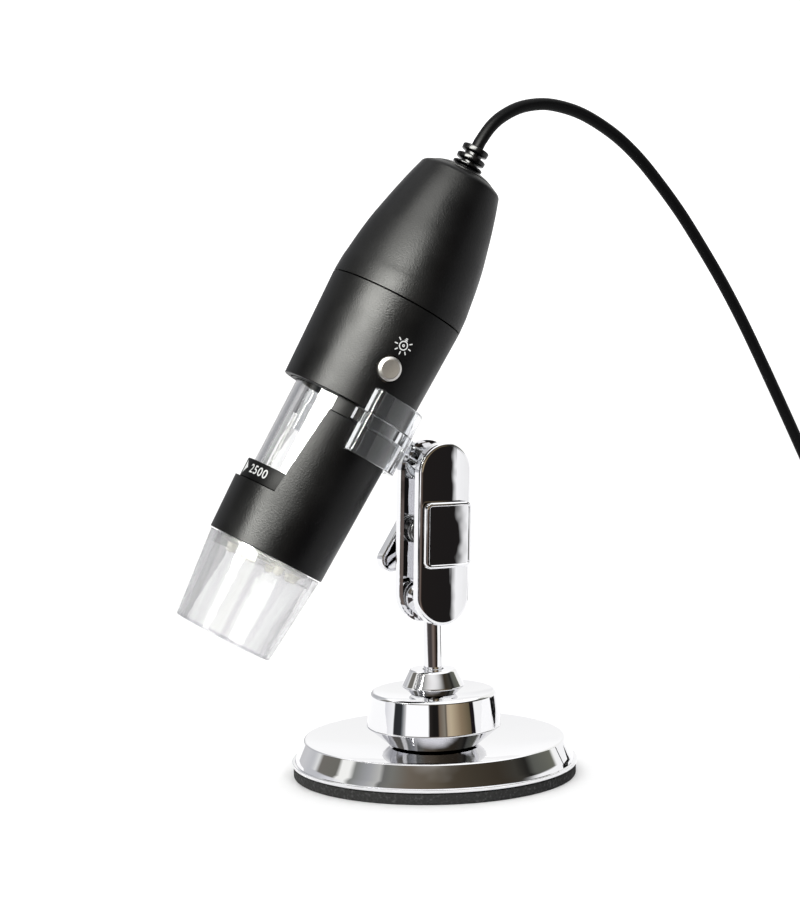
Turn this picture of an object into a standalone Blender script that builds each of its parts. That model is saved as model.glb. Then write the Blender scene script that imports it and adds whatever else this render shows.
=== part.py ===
"""A usb digital microscope, held by a clip and two ball joints over a weighted round base.

Lengths are in metres and +Z is up. The origin is the centre of the foot pad, on the table.
The stand is built in the world's frame, the clamp in its own frame at the lower ball, and the
microscope in the frame of its tube, where a station is a distance from the seam of the housing
towards the lens, and an angle is turned from the side of the upper ball towards the front.
"""
import math

import bmesh
import bpy
from mathutils import Matrix, Vector

MM = 0.001
FULL_TURN = 2 * math.pi

# Clearances and counts that many pieces share
SEAT_GAP = 0.3 * MM
OVERRUN = 1.0 * MM
MERGE_DISTANCE = 0.001 * MM
TUBE_STEPS = 36
SMALL_STEPS = 20
TINY_STEPS = 10

# Foot pad and base, from the table up; the insets are taken from the rim of the base
PAD_INSET = 0.3 * MM
PAD_HEIGHT = 2.45 * MM
PAD_EDGE = 0.25 * MM
BASE_RIM_RADIUS = 34.4 * MM
BASE_RIM_HEIGHT = 0.9 * MM
BASE_SHOULDER_INSET = 0.7 * MM
BASE_BEVEL_FOOT_INSET = 1.0 * MM
BASE_BEVEL_FOOT_RISE = 1.9 * MM
BASE_EDGE_INSET = 3.0 * MM
BASE_EDGE_RISE = 6.15 * MM
BASE_DISH_DEPTH = 2.05 * MM
BASE_WALL = 1.2 * MM
DISH_SHARES = (0.8, 0.45)
DISH_POWER = 1.6
WEIGHT_CLEARANCE = 1.2 * MM
BASE_STEPS = 48

# Hub, collar and the screw that holds the hub down
HUB_FOOT_RADIUS = 10.7 * MM
HUB_FLARE_RADIUS = 16.25 * MM
HUB_FLARE_RISE = 4.6 * MM
HUB_TOP_RADIUS = 15.2 * MM
HUB_HEIGHT = 13.1 * MM
HUB_DISH_DEPTH = 1.1 * MM
HUB_EDGE = 0.6 * MM
HUB_STEPS = 36
COLLAR_FOOT_RADIUS = 5.5 * MM
COLLAR_WIDE_RADIUS = 7.5 * MM
COLLAR_TOP_RADIUS = 5.7 * MM
COLLAR_UNDERCUT = 1.8 * MM
COLLAR_HEIGHT = 6.0 * MM
COLLAR_EDGE = 0.3 * MM
COLLAR_STEPS = 28
BASE_SCREW_RADIUS = 1.5 * MM
BASE_SCREW_HEAD_RADIUS = 3.4 * MM
BASE_SCREW_HEAD_HEIGHT = 1.3 * MM
BASE_SCREW_REACH = 2.75 * MM

# Ball stem
STEM_RADIUS = 2.2 * MM
STEM_EDGE = 0.3 * MM
BALL_RADIUS = 4.0 * MM
LOWER_BALL_HEIGHT = 42.4 * MM
STEM_DEPTH_IN_HUB = 8.3 * MM

# Clamp: two plates with a ball pocket near each end, and the screw between them
CLAMP_LENGTH = 44.0 * MM
CLAMP_WIDTH = 14.6 * MM
CLAMP_GAP = 4.8 * MM
CLAMP_LEAN = math.radians(2.2)
BALL_INSET = 5.9 * MM
PLATE_THICKNESS = 3.2 * MM
PLATE_LIP = 0.7 * MM
PLATE_LIP_INSET = 0.6 * MM
PLATE_ROUNDING = 0.9 * MM
PLATE_ARC_POINTS = 12
COVER_WIDTH = 12.8 * MM
COVER_HEIGHT = 15.8 * MM
COVER_THICKNESS = 1.5 * MM
COVER_CORNER = 1.6 * MM
COVER_BEVEL = 0.5 * MM
COVER_CORNER_POINTS = 5
CLAMP_SCREW_RADIUS = 1.5 * MM
CLAMP_HEAD_RADIUS = 2.9 * MM
CLAMP_HEAD_HEIGHT = 1.2 * MM
CLAMP_HEAD_SINK = 1.7 * MM
WASHER_RADIUS = 4.2 * MM
WASHER_THICKNESS = 0.7 * MM
WING_HUB_RADIUS = 4.8 * MM
WING_THICKNESS = 4.0 * MM
WING_REACH = 9.6 * MM
WING_TIP_RADIUS = 3.0 * MM
WING_ROOT_RADIUS = 4.6 * MM
WING_ROUNDING = 0.5 * MM
WING_REST_ANGLE = math.radians(228)
SCREW_STICK_OUT = 0.8 * MM
SPRING_WIRE = 0.7 * MM
SPRING_RADIUS = 3.0 * MM
SPRING_TURNS = 2.5
SPRING_TURN_POINTS = 10

# Clip that holds the microscope
HOLDER_LEAN = math.radians(29)
HOLDER_SPIN = math.radians(7.44)
HOLDER_REACH = 29.7 * MM
CLIP_STATION = 29.0 * MM
CLIP_RIB_SHIFT = 0.55 * MM
CLIP_WIDTH = 15.6 * MM
CLIP_CLEARANCE = 0.3 * MM
CLIP_THICKNESS = 1.75 * MM
CLIP_FRONT_SPAN = math.radians(102)
CLIP_REAR_SPAN = math.radians(95)
CLIP_RIB_CLEARANCE = 0.4 * MM
CLIP_RIB_WIDTH = 3.0 * MM
CLIP_RIB_OVERHANG = math.radians(6)
FLANGE_HEIGHT = 2.6 * MM
FLANGE_THICKNESS = 1.5 * MM
NECK_HEIGHT = 4.8 * MM
NECK_THICKNESS = 2.9 * MM
NECK_ROD_RADIUS = 1.9 * MM
NECK_BAR_CLEARANCE = 8.1 * MM
NECK_PIN_RADIUS = 1.2 * MM
NECK_PIN_DEPTH = 3.4 * MM

# Housing of the microscope, from the tail to the groove behind the focus sleeve
TUBE_RADIUS = 16.5 * MM
TAIL_LENGTH = 33.0 * MM
TAIL_RADIUS_SHARES = ((0.0, 1.0), (0.115, 0.988), (0.185, 0.970), (0.33, 0.933), (0.473, 0.885), (1.0, 0.609))
TAIL_RIM_RISE = 1.2 * MM
TAIL_OPENING_INSET = 2.35 * MM
TAIL_LEDGE = 0.8 * MM
HOUSING_WALL = 1.6 * MM
HOUSING_END = 26.6 * MM
SPIGOT_HEIGHT = 4.0 * MM
SPIGOT_WALL = 1.3 * MM
PLUG_DOME_RISE = 1.1 * MM
PLUG_FLAT_RADIUS = 4.0 * MM
PLUG_PROUD = 0.2 * MM
RELIEF_NECK_RADIUS = 2.6 * MM
RELIEF_FLANGE_RADIUS = 5.0 * MM
RELIEF_FLANGE_HEIGHT = 1.5 * MM
RELIEF_RING_RADII = (3.75 * MM, 3.57 * MM, 3.3 * MM)
RELIEF_RING_HEIGHTS = (0.9 * MM, 1.6 * MM, 1.7 * MM)
RELIEF_RING_GAP = 0.5 * MM
RELIEF_EDGE = 0.25 * MM
RELIEF_STEPS = 16

# Focus sleeve, index ring and the clear tube that they turn and slide on
SLEEVE_TOP = 30.3 * MM
SLEEVE_END = 66.3 * MM
SLEEVE_END_INSET = 2.05 * MM
SLEEVE_END_WALL = 0.3 * MM
SLEEVE_SEAT = 53.4 * MM
SLEEVE_TOP_WALL = 1.4 * MM
SLEEVE_EDGE = 0.3 * MM
SLEEVE_NECK_INSET = 2.8 * MM
SLEEVE_NECK_TOP = 23.8 * MM
WINDOW_TOP = 26.7 * MM
WINDOW_BOTTOM = 52.9 * MM
WINDOW_FRONT_TOP = math.radians(128)
WINDOW_FRONT_BOTTOM = math.radians(138.2)
WINDOW_REAR = math.radians(305)
SECTOR_POINTS = 18
INDEX_TOP = 48.2 * MM
INDEX_BOTTOM = 52.6 * MM
CLEAR_INSET = 4.1 * MM
CLEAR_WALL = 1.2 * MM
CLEAR_TOP = 20.4 * MM
CLEAR_END = 69.0 * MM
GUIDE_ANGLES = (math.radians(171), math.radians(351))
GUIDE_SLOT_WIDTH = 2.4 * MM
GUIDE_LUG_HEIGHT = 2.0 * MM
FOCUS_TRAVEL = 15.0 * MM
HOLDING_RING_HEIGHT = 3.0 * MM

# Hood and the lamps in it
HOOD_INSET = 0.35 * MM
HOOD_END = 88.0 * MM
HOOD_TAPER = 2.0 * MM
HOOD_WALL = 1.2 * MM
LAMP_BOARD_STATION = 66.0 * MM
LAMP_BOARD_THICKNESS = 1.0 * MM
LAMP_BOARD_BORE_INSET = 2.3 * MM
LAMP_COUNT = 8
LAMP_RING_INSET = 2.7 * MM
LAMP_RADIUS = 1.25 * MM
LAMP_HEIGHT = 2.4 * MM

# Lens carriage and what rides on it
SENSOR_BOARD_THICKNESS = 1.0 * MM
SENSOR_SHARE = 1.15
SENSOR_THICKNESS = 1.2 * MM
CARRIAGE_LENGTH = 10.5 * MM
CARRIAGE_RECESS_STEP = 0.9 * MM
CARRIAGE_RECESS_DEPTH = 2.4 * MM
BARREL_CLEARANCE = 0.5 * MM
BARREL_WALL = 1.3 * MM
BARREL_END = 65.4 * MM
BARREL_RING = 0.9 * MM
LENS_THICKNESS = 2.2 * MM
LENS_BULGE = 0.6 * MM
RIBBON_WIDTH = 5.0 * MM
RIBBON_THICKNESS = 0.3 * MM
RIBBON_INSET = 1.0 * MM
RIBBON_LENGTH = 32.0 * MM
RIBBON_ANGLE = math.radians(340)

# Main board and the lamp button
BOARD_ANGLE = math.radians(99)
BOARD_INSET = 6.2 * MM
BOARD_THICKNESS = 1.2 * MM
BOARD_CLEARANCE = 0.36 * MM
BOARD_LENGTH = 31.8 * MM
BUTTON_STATION = 16.0 * MM
BUTTON_RADIUS = 2.9 * MM
BUTTON_FACE_RADIUS = 2.2 * MM
BUTTON_PROUD = 0.9 * MM
BUTTON_CHAMFER = 0.4 * MM
BUTTON_FLANGE_RADIUS = 3.5 * MM
BUTTON_FLANGE_DEPTH = 2.4 * MM
BUTTON_FLANGE_HEIGHT = 0.8 * MM
BUTTON_PIN_RADIUS = 1.2 * MM
BUTTON_TRAVEL = 0.6 * MM
SWITCH_SIDE = 6.0 * MM
SWITCH_HEIGHT = 1.6 * MM
SWITCH_PLUNGER_RADIUS = 1.7 * MM
SWITCH_PLUNGER_HEIGHT = 0.7 * MM
CHIP_SIDE = 7.0 * MM
CHIP_HEIGHT = 1.0 * MM
SOCKET_WIDTH = 7.5 * MM
SOCKET_DEPTH = 4.5 * MM
SOCKET_HEIGHT = 2.6 * MM

# Cord: its route is chosen by hand, straight out of the tail, down and along the table
CORD_DIAMETER = 3.0 * MM
CORD_LIFT = 0.05 * MM
CORD_POINT_STEP = 6.0 * MM
CORD_ROUTE = (
    (0.01287, -0.00960, 0.15495), (0.01650, -0.00965, 0.15745),
    (0.02150, -0.00960, 0.15940), (0.02760, -0.00950, 0.16015), (0.03310, -0.00940, 0.15960),
    (0.03920, -0.00930, 0.15800), (0.04520, -0.00930, 0.15525), (0.05120, -0.00930, 0.15160),
    (0.05730, -0.00930, 0.14665), (0.06340, -0.00930, 0.14050), (0.06960, -0.00930, 0.13355),
    (0.07590, -0.00930, 0.12545), (0.08230, -0.00930, 0.11665), (0.08870, -0.00930, 0.10690),
    (0.09520, -0.00930, 0.09600), (0.10180, -0.00930, 0.08450), (0.10760, -0.00930, 0.07420),
    (0.11420, -0.00930, 0.06240), (0.12060, -0.00930, 0.05080), (0.12680, -0.00930, 0.03960),
    (0.13300, -0.00930, 0.02920), (0.13980, -0.00930, 0.01970), (0.14760, -0.00930, 0.01160),
    (0.15600, -0.00930, 0.00580), (0.16400, -0.00930, 0.00260), (0.17000, -0.00930, 0.00175),
)
COIL_CENTRE_X = 0.1800
COIL_LAYERS = 4
COIL_TURNS = 2
COIL_LOOP_POINTS = 24
COIL_PITCH = 3.6 * MM
COIL_OUTER_RADIUS = 27.0 * MM
CORD_TAIL_RUN = 22.0 * MM

# Plug at the end of the cord
PLUG_GRIP_WIDTH = 15.6 * MM
PLUG_GRIP_HEIGHT = 8.0 * MM
PLUG_GRIP_LENGTH = 20.0 * MM
PLUG_GRIP_ROUNDING = 1.6 * MM
PLUG_BOOT_LENGTH = 9.0 * MM
PLUG_BOOT_RADII = (2.1 * MM, 3.2 * MM)
PLUG_SHELL_WIDTH = 12.0 * MM
PLUG_SHELL_HEIGHT = 4.5 * MM
PLUG_SHELL_WALL = 0.35 * MM
PLUG_SHELL_REACH = 12.5 * MM
PLUG_SHELL_DEPTH = 6.0 * MM
PLUG_TONGUE_HEIGHT = 1.8 * MM
PLUG_TONGUE_SET_BACK = 0.6 * MM

# Values that follow from the ones above
BASE_BOTTOM = PAD_HEIGHT + SEAT_GAP
PAD_RADIUS = BASE_RIM_RADIUS - PAD_INSET
BASE_SHOULDER_RADIUS = BASE_RIM_RADIUS - BASE_SHOULDER_INSET
BASE_BEVEL_FOOT_RADIUS = BASE_RIM_RADIUS - BASE_BEVEL_FOOT_INSET
BASE_EDGE_RADIUS = BASE_RIM_RADIUS - BASE_EDGE_INSET
WEIGHT_RADIUS = BASE_BEVEL_FOOT_RADIUS - BASE_WALL - WEIGHT_CLEARANCE
BASE_DISH_BOTTOM = BASE_BOTTOM + BASE_EDGE_RISE - BASE_DISH_DEPTH
HUB_BOTTOM = BASE_DISH_BOTTOM + SEAT_GAP
HUB_TOP = HUB_BOTTOM + HUB_HEIGHT
HUB_SEAT = HUB_TOP - HUB_DISH_DEPTH
COLLAR_BOTTOM = HUB_SEAT + SEAT_GAP
BALL_SPACING = CLAMP_LENGTH - 2 * BALL_INSET
PLATE_OUTSIDE = CLAMP_GAP / 2 + PLATE_THICKNESS
TUBE_TAPER = SLEEVE_END_INSET / SLEEVE_END
SLEEVE_END_RADIUS = TUBE_RADIUS - SLEEVE_END_INSET
SLEEVE_BORE = SLEEVE_END_RADIUS - SLEEVE_END_WALL
SLEEVE_NECK_RADIUS = TUBE_RADIUS - SLEEVE_NECK_INSET
INDEX_RADIUS = SLEEVE_BORE - SEAT_GAP
CLIP_RADIUS = TUBE_RADIUS - TUBE_TAPER * (CLIP_STATION - CLIP_WIDTH / 2) + CLIP_CLEARANCE
CLIP_BACK = CLIP_RADIUS + CLIP_THICKNESS
CLIP_RIB_RADIUS = SLEEVE_NECK_RADIUS + CLIP_RIB_CLEARANCE
TAIL_OPENING_RADIUS = TUBE_RADIUS * TAIL_RADIUS_SHARES[-1][1] - TAIL_OPENING_INSET
CLEAR_RADIUS = TUBE_RADIUS - CLEAR_INSET
CLEAR_BORE = CLEAR_RADIUS - CLEAR_WALL
RING_BORE = CLEAR_RADIUS + SEAT_GAP
HOOD_TOP_RADIUS = SLEEVE_END_RADIUS - HOOD_INSET
HOOD_END_RADIUS = HOOD_TOP_RADIUS - HOOD_TAPER
LAMP_RING_RADIUS = CLEAR_BORE - LAMP_RING_INSET
LAMP_BOARD_BORE = LAMP_RING_RADIUS - LAMP_BOARD_BORE_INSET
BARREL_RADIUS = LAMP_BOARD_BORE - BARREL_CLEARANCE
CARRIAGE_RECESS_RADIUS = BARREL_RADIUS + CARRIAGE_RECESS_STEP
SENSOR_SIDE = CARRIAGE_RECESS_RADIUS * SENSOR_SHARE
RIBBON_OFFSET = CLEAR_BORE - RIBBON_INSET
SPIGOT_RADIUS = TUBE_RADIUS - HOUSING_WALL - SEAT_GAP
SPIGOT_BORE = SPIGOT_RADIUS - SPIGOT_WALL
BOARD_OFFSET = SPIGOT_BORE - BOARD_INSET
BOARD_WIDTH = 2 * math.sqrt((SPIGOT_BORE - BOARD_CLEARANCE) ** 2 - (BOARD_OFFSET + BOARD_THICKNESS / 2) ** 2)
CORD_RADIUS = CORD_DIAMETER / 2
CORD_HEIGHT = CORD_RADIUS + CORD_LIFT
COIL_CENTRE_Y = CORD_ROUTE[-1][1] + COIL_OUTER_RADIUS
PLUG_GRIP_CENTRE_HEIGHT = PLUG_GRIP_HEIGHT / 2 + CORD_LIFT


def clear_scene():
    """Remove every object that the new file starts with."""
    for thing in list(bpy.data.objects):
        bpy.data.objects.remove(thing, do_unlink=True)


def new_collection(name):
    """Make a collection under the scene's own."""
    made = bpy.data.collections.new(name)
    bpy.context.scene.collection.children.link(made)
    return made


def new_finish(name, colour, roughness, metallic=0.0, alpha=1.0):
    """Make a Principled material."""
    finish = bpy.data.materials.new(name)
    finish.use_nodes = True
    shader = finish.node_tree.nodes["Principled BSDF"]
    shader.inputs["Base Color"].default_value = (*colour, 1.0)
    shader.inputs["Roughness"].default_value = roughness
    shader.inputs["Metallic"].default_value = metallic
    shader.inputs["Alpha"].default_value = alpha
    finish.diffuse_color = (*colour, alpha)
    return finish


clear_scene()
PARTS = new_collection("usb_digital_microscope")
CUTTERS = new_collection("cutters")
FOAM = new_finish("black_foam", (0.035, 0.035, 0.037), 0.95)
CHROME = new_finish("chrome", (0.82, 0.83, 0.85), 0.06, 1.0)
STEEL = new_finish("steel", (0.55, 0.55, 0.56), 0.35, 1.0)
BLACK = new_finish("black_satin_plastic", (0.022, 0.023, 0.024), 0.42)
RUBBER = new_finish("black_soft_plastic", (0.018, 0.018, 0.019), 0.55)
CLEAR = new_finish("clear_plastic", (0.93, 0.95, 0.96), 0.05, 0.0, 0.35)
SILVER = new_finish("satin_silver", (0.62, 0.62, 0.63), 0.3, 1.0)
BOARD = new_finish("circuit_board", (0.03, 0.16, 0.07), 0.5)
CHIP = new_finish("chip", (0.03, 0.03, 0.035), 0.4)
LAMP = new_finish("lamp", (0.95, 0.94, 0.86), 0.2)
GLASS = new_finish("lens_glass", (0.75, 0.82, 0.88), 0.02, 0.0, 0.4)
RIBBON = new_finish("ribbon", (0.55, 0.28, 0.06), 0.4)


def new_frame(name, matrix, parent=None):
    """Make an empty that stands on a joint's axis, placed in its parent's frame."""
    empty = bpy.data.objects.new(name, None)
    PARTS.objects.link(empty)
    empty.parent = parent
    empty.matrix_basis = matrix
    return empty


def add_part(name, data, finish, parent=None):
    """Put a mesh or curve in the parts' collection, in its parent's frame."""
    part = bpy.data.objects.new(name, data)
    part.data.materials.append(finish)
    PARTS.objects.link(part)
    part.parent = parent
    return part


def add_cutter(name, data, parent=None):
    """Put a hidden helper in the cutters' collection."""
    cutter = bpy.data.objects.new(name, data)
    CUTTERS.objects.link(cutter)
    cutter.parent = parent
    cutter.hide_render = True
    cutter.display_type = "WIRE"
    return cutter


def combine(target, name, data, operation="DIFFERENCE"):
    """Cut a mesh out of a part, or join it on, with an exact Boolean."""
    tool = add_cutter(name, data, target.parent)
    step = target.modifiers.new(name, "BOOLEAN")
    step.operation = operation
    step.solver = "EXACT"
    step.object = tool
    return target


def finished_mesh(name, shape):
    """Turn a bmesh into a mesh with its faces pointing out."""
    bmesh.ops.recalc_face_normals(shape, faces=shape.faces)
    mesh = bpy.data.meshes.new(name)
    shape.to_mesh(mesh)
    shape.free()
    mesh.shade_smooth()
    mesh.set_sharp_from_angle(angle=math.radians(35))
    return mesh


def cylinder_mesh(name, radius, start, end, sides=SMALL_STEPS, end_radius=None):
    """A cylinder or cone between two points."""
    start, end = Vector(start), Vector(end)
    axis = end - start
    turn = Vector((0, 0, 1)).rotation_difference(axis).to_matrix().to_4x4()
    shape = bmesh.new()
    bmesh.ops.create_cone(
        shape,
        cap_ends=True,
        segments=sides,
        radius1=radius,
        radius2=radius if end_radius is None else end_radius,
        depth=axis.length,
        matrix=Matrix.Translation((start + end) / 2) @ turn,
    )
    return finished_mesh(name, shape)


def block_mesh(name, size, centre=(0, 0, 0), turn=None):
    """A box of a size about a centre, turned by a matrix that is placed there."""
    shape = bmesh.new()
    place = Matrix.Translation(centre) @ (turn or Matrix()) @ Matrix.Diagonal((*size, 1))
    bmesh.ops.create_cube(shape, size=1, matrix=place)
    return finished_mesh(name, shape)


def ball_mesh(name, radius, centre, sides=SMALL_STEPS):
    """A ball about a centre."""
    shape = bmesh.new()
    bmesh.ops.create_uvsphere(
        shape, u_segments=sides, v_segments=sides // 2, radius=radius, matrix=Matrix.Translation(centre)
    )
    return finished_mesh(name, shape)


def add_screw(thing, steps):
    """Turn a profile into a full round with a Screw modifier."""
    turn = thing.modifiers.new("turn", "SCREW")
    turn.axis = "Z"
    turn.angle = FULL_TURN
    turn.steps = steps
    turn.render_steps = steps
    turn.use_merge_vertices = True
    turn.merge_threshold = MERGE_DISTANCE
    turn.use_smooth_shade = True


def profile_mesh(name, outline, closed):
    """A profile of (radius, height) points, which runs down its outer side."""
    mesh = bpy.data.meshes.new(name)
    edges = [(i, i + 1) for i in range(len(outline) - 1)]
    if closed:
        edges.append((len(outline) - 1, 0))
    mesh.from_pydata([(radius, 0, height) for radius, height in outline], edges, [])
    return mesh


def turned(name, outline, finish, parent=None, steps=TUBE_STEPS, closed=True):
    """A turned piece. A closed outline has a bore, an open one starts and ends on the axis."""
    part = add_part(name, profile_mesh(name, outline, closed), finish, parent)
    add_screw(part, steps)
    return part


def mesh_of_curve(name, curve, place):
    """A closed mesh from a curve, with its caps welded on, moved to a place."""
    holder = bpy.data.objects.new(name, curve)
    CUTTERS.objects.link(holder)
    evaluated = holder.evaluated_get(bpy.context.evaluated_depsgraph_get())
    mesh = bpy.data.meshes.new_from_object(evaluated)
    bpy.data.objects.remove(holder, do_unlink=True)
    shape = bmesh.new()
    shape.from_mesh(mesh)
    bmesh.ops.remove_doubles(shape, verts=shape.verts, dist=MERGE_DISTANCE)
    bmesh.ops.transform(shape, matrix=place, verts=shape.verts)
    bpy.data.meshes.remove(mesh)
    return finished_mesh(name, shape)


def plate_mesh(name, outline, thickness, place):
    """A flat plate of an outline, its thickness shared to both sides of the outline's plane."""
    curve = bpy.data.curves.new(name, "CURVE")
    curve.dimensions = "2D"
    curve.fill_mode = "BOTH"
    curve.extrude = thickness / 2
    line = curve.splines.new("POLY")
    line.points.add(len(outline) - 1)
    for point, (across, along) in zip(line.points, outline):
        point.co = (across, along, 0, 1)
    line.use_cyclic_u = True
    return mesh_of_curve(name, curve, place)


def tube(name, route, diameter, sides_share, finish, parent=None):
    """A round tube with flat ends along a list of points."""
    curve = bpy.data.curves.new(name, "CURVE")
    curve.dimensions = "3D"
    curve.bevel_depth = diameter / 2
    curve.bevel_resolution = sides_share
    curve.use_fill_caps = True
    line = curve.splines.new("POLY")
    line.points.add(len(route) - 1)
    for point, place in zip(line.points, route):
        point.co = (*place, 1)
    return add_part(name, curve, finish, parent)


def add_bevel(part, width, segments=2):
    """Round the sharp edges of a part."""
    edge = part.modifiers.new("edge", "BEVEL")
    edge.width = width
    edge.segments = segments
    edge.limit_method = "ANGLE"
    edge.angle_limit = math.radians(40)
    edge.use_clamp_overlap = True


def arc(centre, radius, start, end, points):
    """Points of an arc in a flat outline."""
    steps = points - 1
    return [
        (
            centre[0] + radius * math.cos(start + (end - start) * i / steps),
            centre[1] + radius * math.sin(start + (end - start) * i / steps),
        )
        for i in range(points)
    ]


def rounded_rectangle(width, height, corner, points):
    """A rectangle about the origin with round corners."""
    across, along = width / 2 - corner, height / 2 - corner
    centres = ((across, along), (-across, along), (-across, -along), (across, -along))
    outline = []
    for i, centre in enumerate(centres):
        outline += arc(centre, corner, i * math.pi / 2, (i + 1) * math.pi / 2, points)
    return outline


def obround(width, length, points):
    """A slot shape about the origin, longer along its second axis."""
    radius, reach = width / 2, (length - width) / 2
    return arc((0, reach), radius, 0, math.pi, points) + arc((0, -reach), radius, math.pi, FULL_TURN, points)


def housing_radius(station):
    """Outer radius of the tapered housing and sleeve."""
    return TUBE_RADIUS - TUBE_TAPER * station


def around(angle, radius, station):
    """A point in the tube's frame."""
    return Vector((radius * math.cos(angle), -radius * math.sin(angle), -station))


def outward(angle):
    """A turn whose Z points out of the tube at an angle and whose X points to the tail."""
    out = Vector((math.cos(angle), -math.sin(angle), 0))
    tail = Vector((0, 0, 1))
    side = out.cross(tail)
    return Matrix((tail, side, out)).transposed().to_4x4()


def sector_mesh(name, radius, top, bottom, starts, end):
    """A slice of cake from the tube's axis, whose first side may slant from top to bottom."""
    shape = bmesh.new()
    rings = []
    for station, start in ((top, starts[0]), (bottom, starts[1])):
        angles = [start + (end - start) * i / SECTOR_POINTS for i in range(SECTOR_POINTS + 1)]
        ring = [shape.verts.new((0, 0, -station))]
        ring += [shape.verts.new(around(angle, radius, station)) for angle in angles]
        rings.append(ring)
    shape.faces.new(rings[0])
    shape.faces.new(reversed(rings[1]))
    count = len(rings[0])
    for i in range(count):
        j = (i + 1) % count
        shape.faces.new((rings[0][i], rings[1][i], rings[1][j], rings[0][j]))
    return finished_mesh(name, shape)


# Frames of the joints, from the table to the lens
STEM_AXIS = new_frame("stem_axis", Matrix.Translation((0, 0, LOWER_BALL_HEIGHT)))
CLAMP_AXIS = new_frame("clamp_axis", Matrix.Rotation(CLAMP_LEAN, 4, "Y"), STEM_AXIS)
WING_AXIS = new_frame("wing_axis", Matrix.Translation((0, 0, BALL_SPACING / 2)), CLAMP_AXIS)
HOLDER_AXIS = new_frame(
    "holder_axis",
    Matrix.Translation((0, 0, BALL_SPACING)) @ Matrix.Rotation(HOLDER_LEAN - CLAMP_LEAN, 4, "Y"),
    CLAMP_AXIS,
)
CLIP_AXIS = new_frame("clip_axis", Matrix.Rotation(HOLDER_SPIN, 4, "X"), HOLDER_AXIS)
TUBE_AXIS = new_frame("tube_axis", Matrix.Translation((-HOLDER_REACH, 0, CLIP_STATION)), CLIP_AXIS)
SLEEVE_AXIS = new_frame("sleeve_axis", Matrix(), TUBE_AXIS)
CARRIAGE_AXIS = new_frame("carriage_axis", Matrix(), TUBE_AXIS)
BUTTON_AXIS = new_frame(
    "button_axis",
    Matrix.Translation(around(BOARD_ANGLE, housing_radius(BUTTON_STATION), BUTTON_STATION))
    @ outward(BOARD_ANGLE),
    TUBE_AXIS,
)


def build_foot_pad():
    """Grainy foam disc that the stand rests on."""
    outline = [
        (0, PAD_HEIGHT),
        (PAD_RADIUS - PAD_EDGE, PAD_HEIGHT),
        (PAD_RADIUS, PAD_HEIGHT - PAD_EDGE),
        (PAD_RADIUS, PAD_EDGE),
        (PAD_RADIUS - PAD_EDGE, 0),
        (0, 0),
    ]
    turned("foot_pad", outline, FOAM, steps=BASE_STEPS, closed=False)


def build_base_shell():
    """Spun cover with a bevelled rim and a dished top, open below."""
    edge_height = BASE_BOTTOM + BASE_EDGE_RISE
    foot_height = BASE_BOTTOM + BASE_BEVEL_FOOT_RISE
    run = BASE_EDGE_RADIUS - HUB_FOOT_RADIUS
    bore = BASE_SCREW_RADIUS + SEAT_GAP
    dish = [(HUB_FOOT_RADIUS + run * share, BASE_DISH_BOTTOM + BASE_DISH_DEPTH * share**DISH_POWER)
            for share in DISH_SHARES]
    outside = [(bore, BASE_DISH_BOTTOM), (HUB_FOOT_RADIUS, BASE_DISH_BOTTOM)]
    outside += dish[::-1]
    outside += [
        (BASE_EDGE_RADIUS, edge_height),
        (BASE_BEVEL_FOOT_RADIUS, foot_height),
        (BASE_SHOULDER_RADIUS, BASE_BOTTOM + BASE_RIM_HEIGHT),
        (BASE_RIM_RADIUS, BASE_BOTTOM + BASE_RIM_HEIGHT),
        (BASE_RIM_RADIUS, BASE_BOTTOM),
    ]
    inside = [
        (BASE_BEVEL_FOOT_RADIUS - BASE_WALL, BASE_BOTTOM),
        (BASE_BEVEL_FOOT_RADIUS - BASE_WALL, foot_height),
        (BASE_EDGE_RADIUS - BASE_WALL, edge_height - 2 * BASE_WALL),
    ]
    inside += [(radius, height - BASE_WALL) for radius, height in dish]
    inside += [(HUB_FOOT_RADIUS, BASE_DISH_BOTTOM - BASE_WALL), (bore, BASE_DISH_BOTTOM - BASE_WALL)]
    turned("base_shell", outside + inside, CHROME, steps=BASE_STEPS)


def build_base_weight():
    """Steel disc inside the cover, sunk below for the head of the screw."""
    bottom = BASE_BOTTOM + SEAT_GAP
    top = BASE_DISH_BOTTOM - BASE_WALL - SEAT_GAP
    ledge = bottom + BASE_SCREW_HEAD_HEIGHT + SEAT_GAP
    bore = BASE_SCREW_RADIUS + SEAT_GAP
    sink = BASE_SCREW_HEAD_RADIUS + SEAT_GAP
    outline = [(bore, top), (WEIGHT_RADIUS, top), (WEIGHT_RADIUS, bottom), (sink, bottom), (sink, ledge), (bore, ledge)]
    turned("base_weight", outline, STEEL, steps=HUB_STEPS)


def build_base_screw():
    """Pan head screw from below through weight and cover into the hub."""
    bottom = BASE_BOTTOM + SEAT_GAP
    head_top = bottom + BASE_SCREW_HEAD_HEIGHT
    top = HUB_BOTTOM + BASE_SCREW_REACH
    outline = [
        (0, top),
        (BASE_SCREW_RADIUS, top),
        (BASE_SCREW_RADIUS, head_top),
        (BASE_SCREW_HEAD_RADIUS, head_top),
        (BASE_SCREW_HEAD_RADIUS, bottom),
        (0, bottom),
    ]
    turned("base_screw", outline, STEEL, steps=SMALL_STEPS, closed=False)


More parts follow.
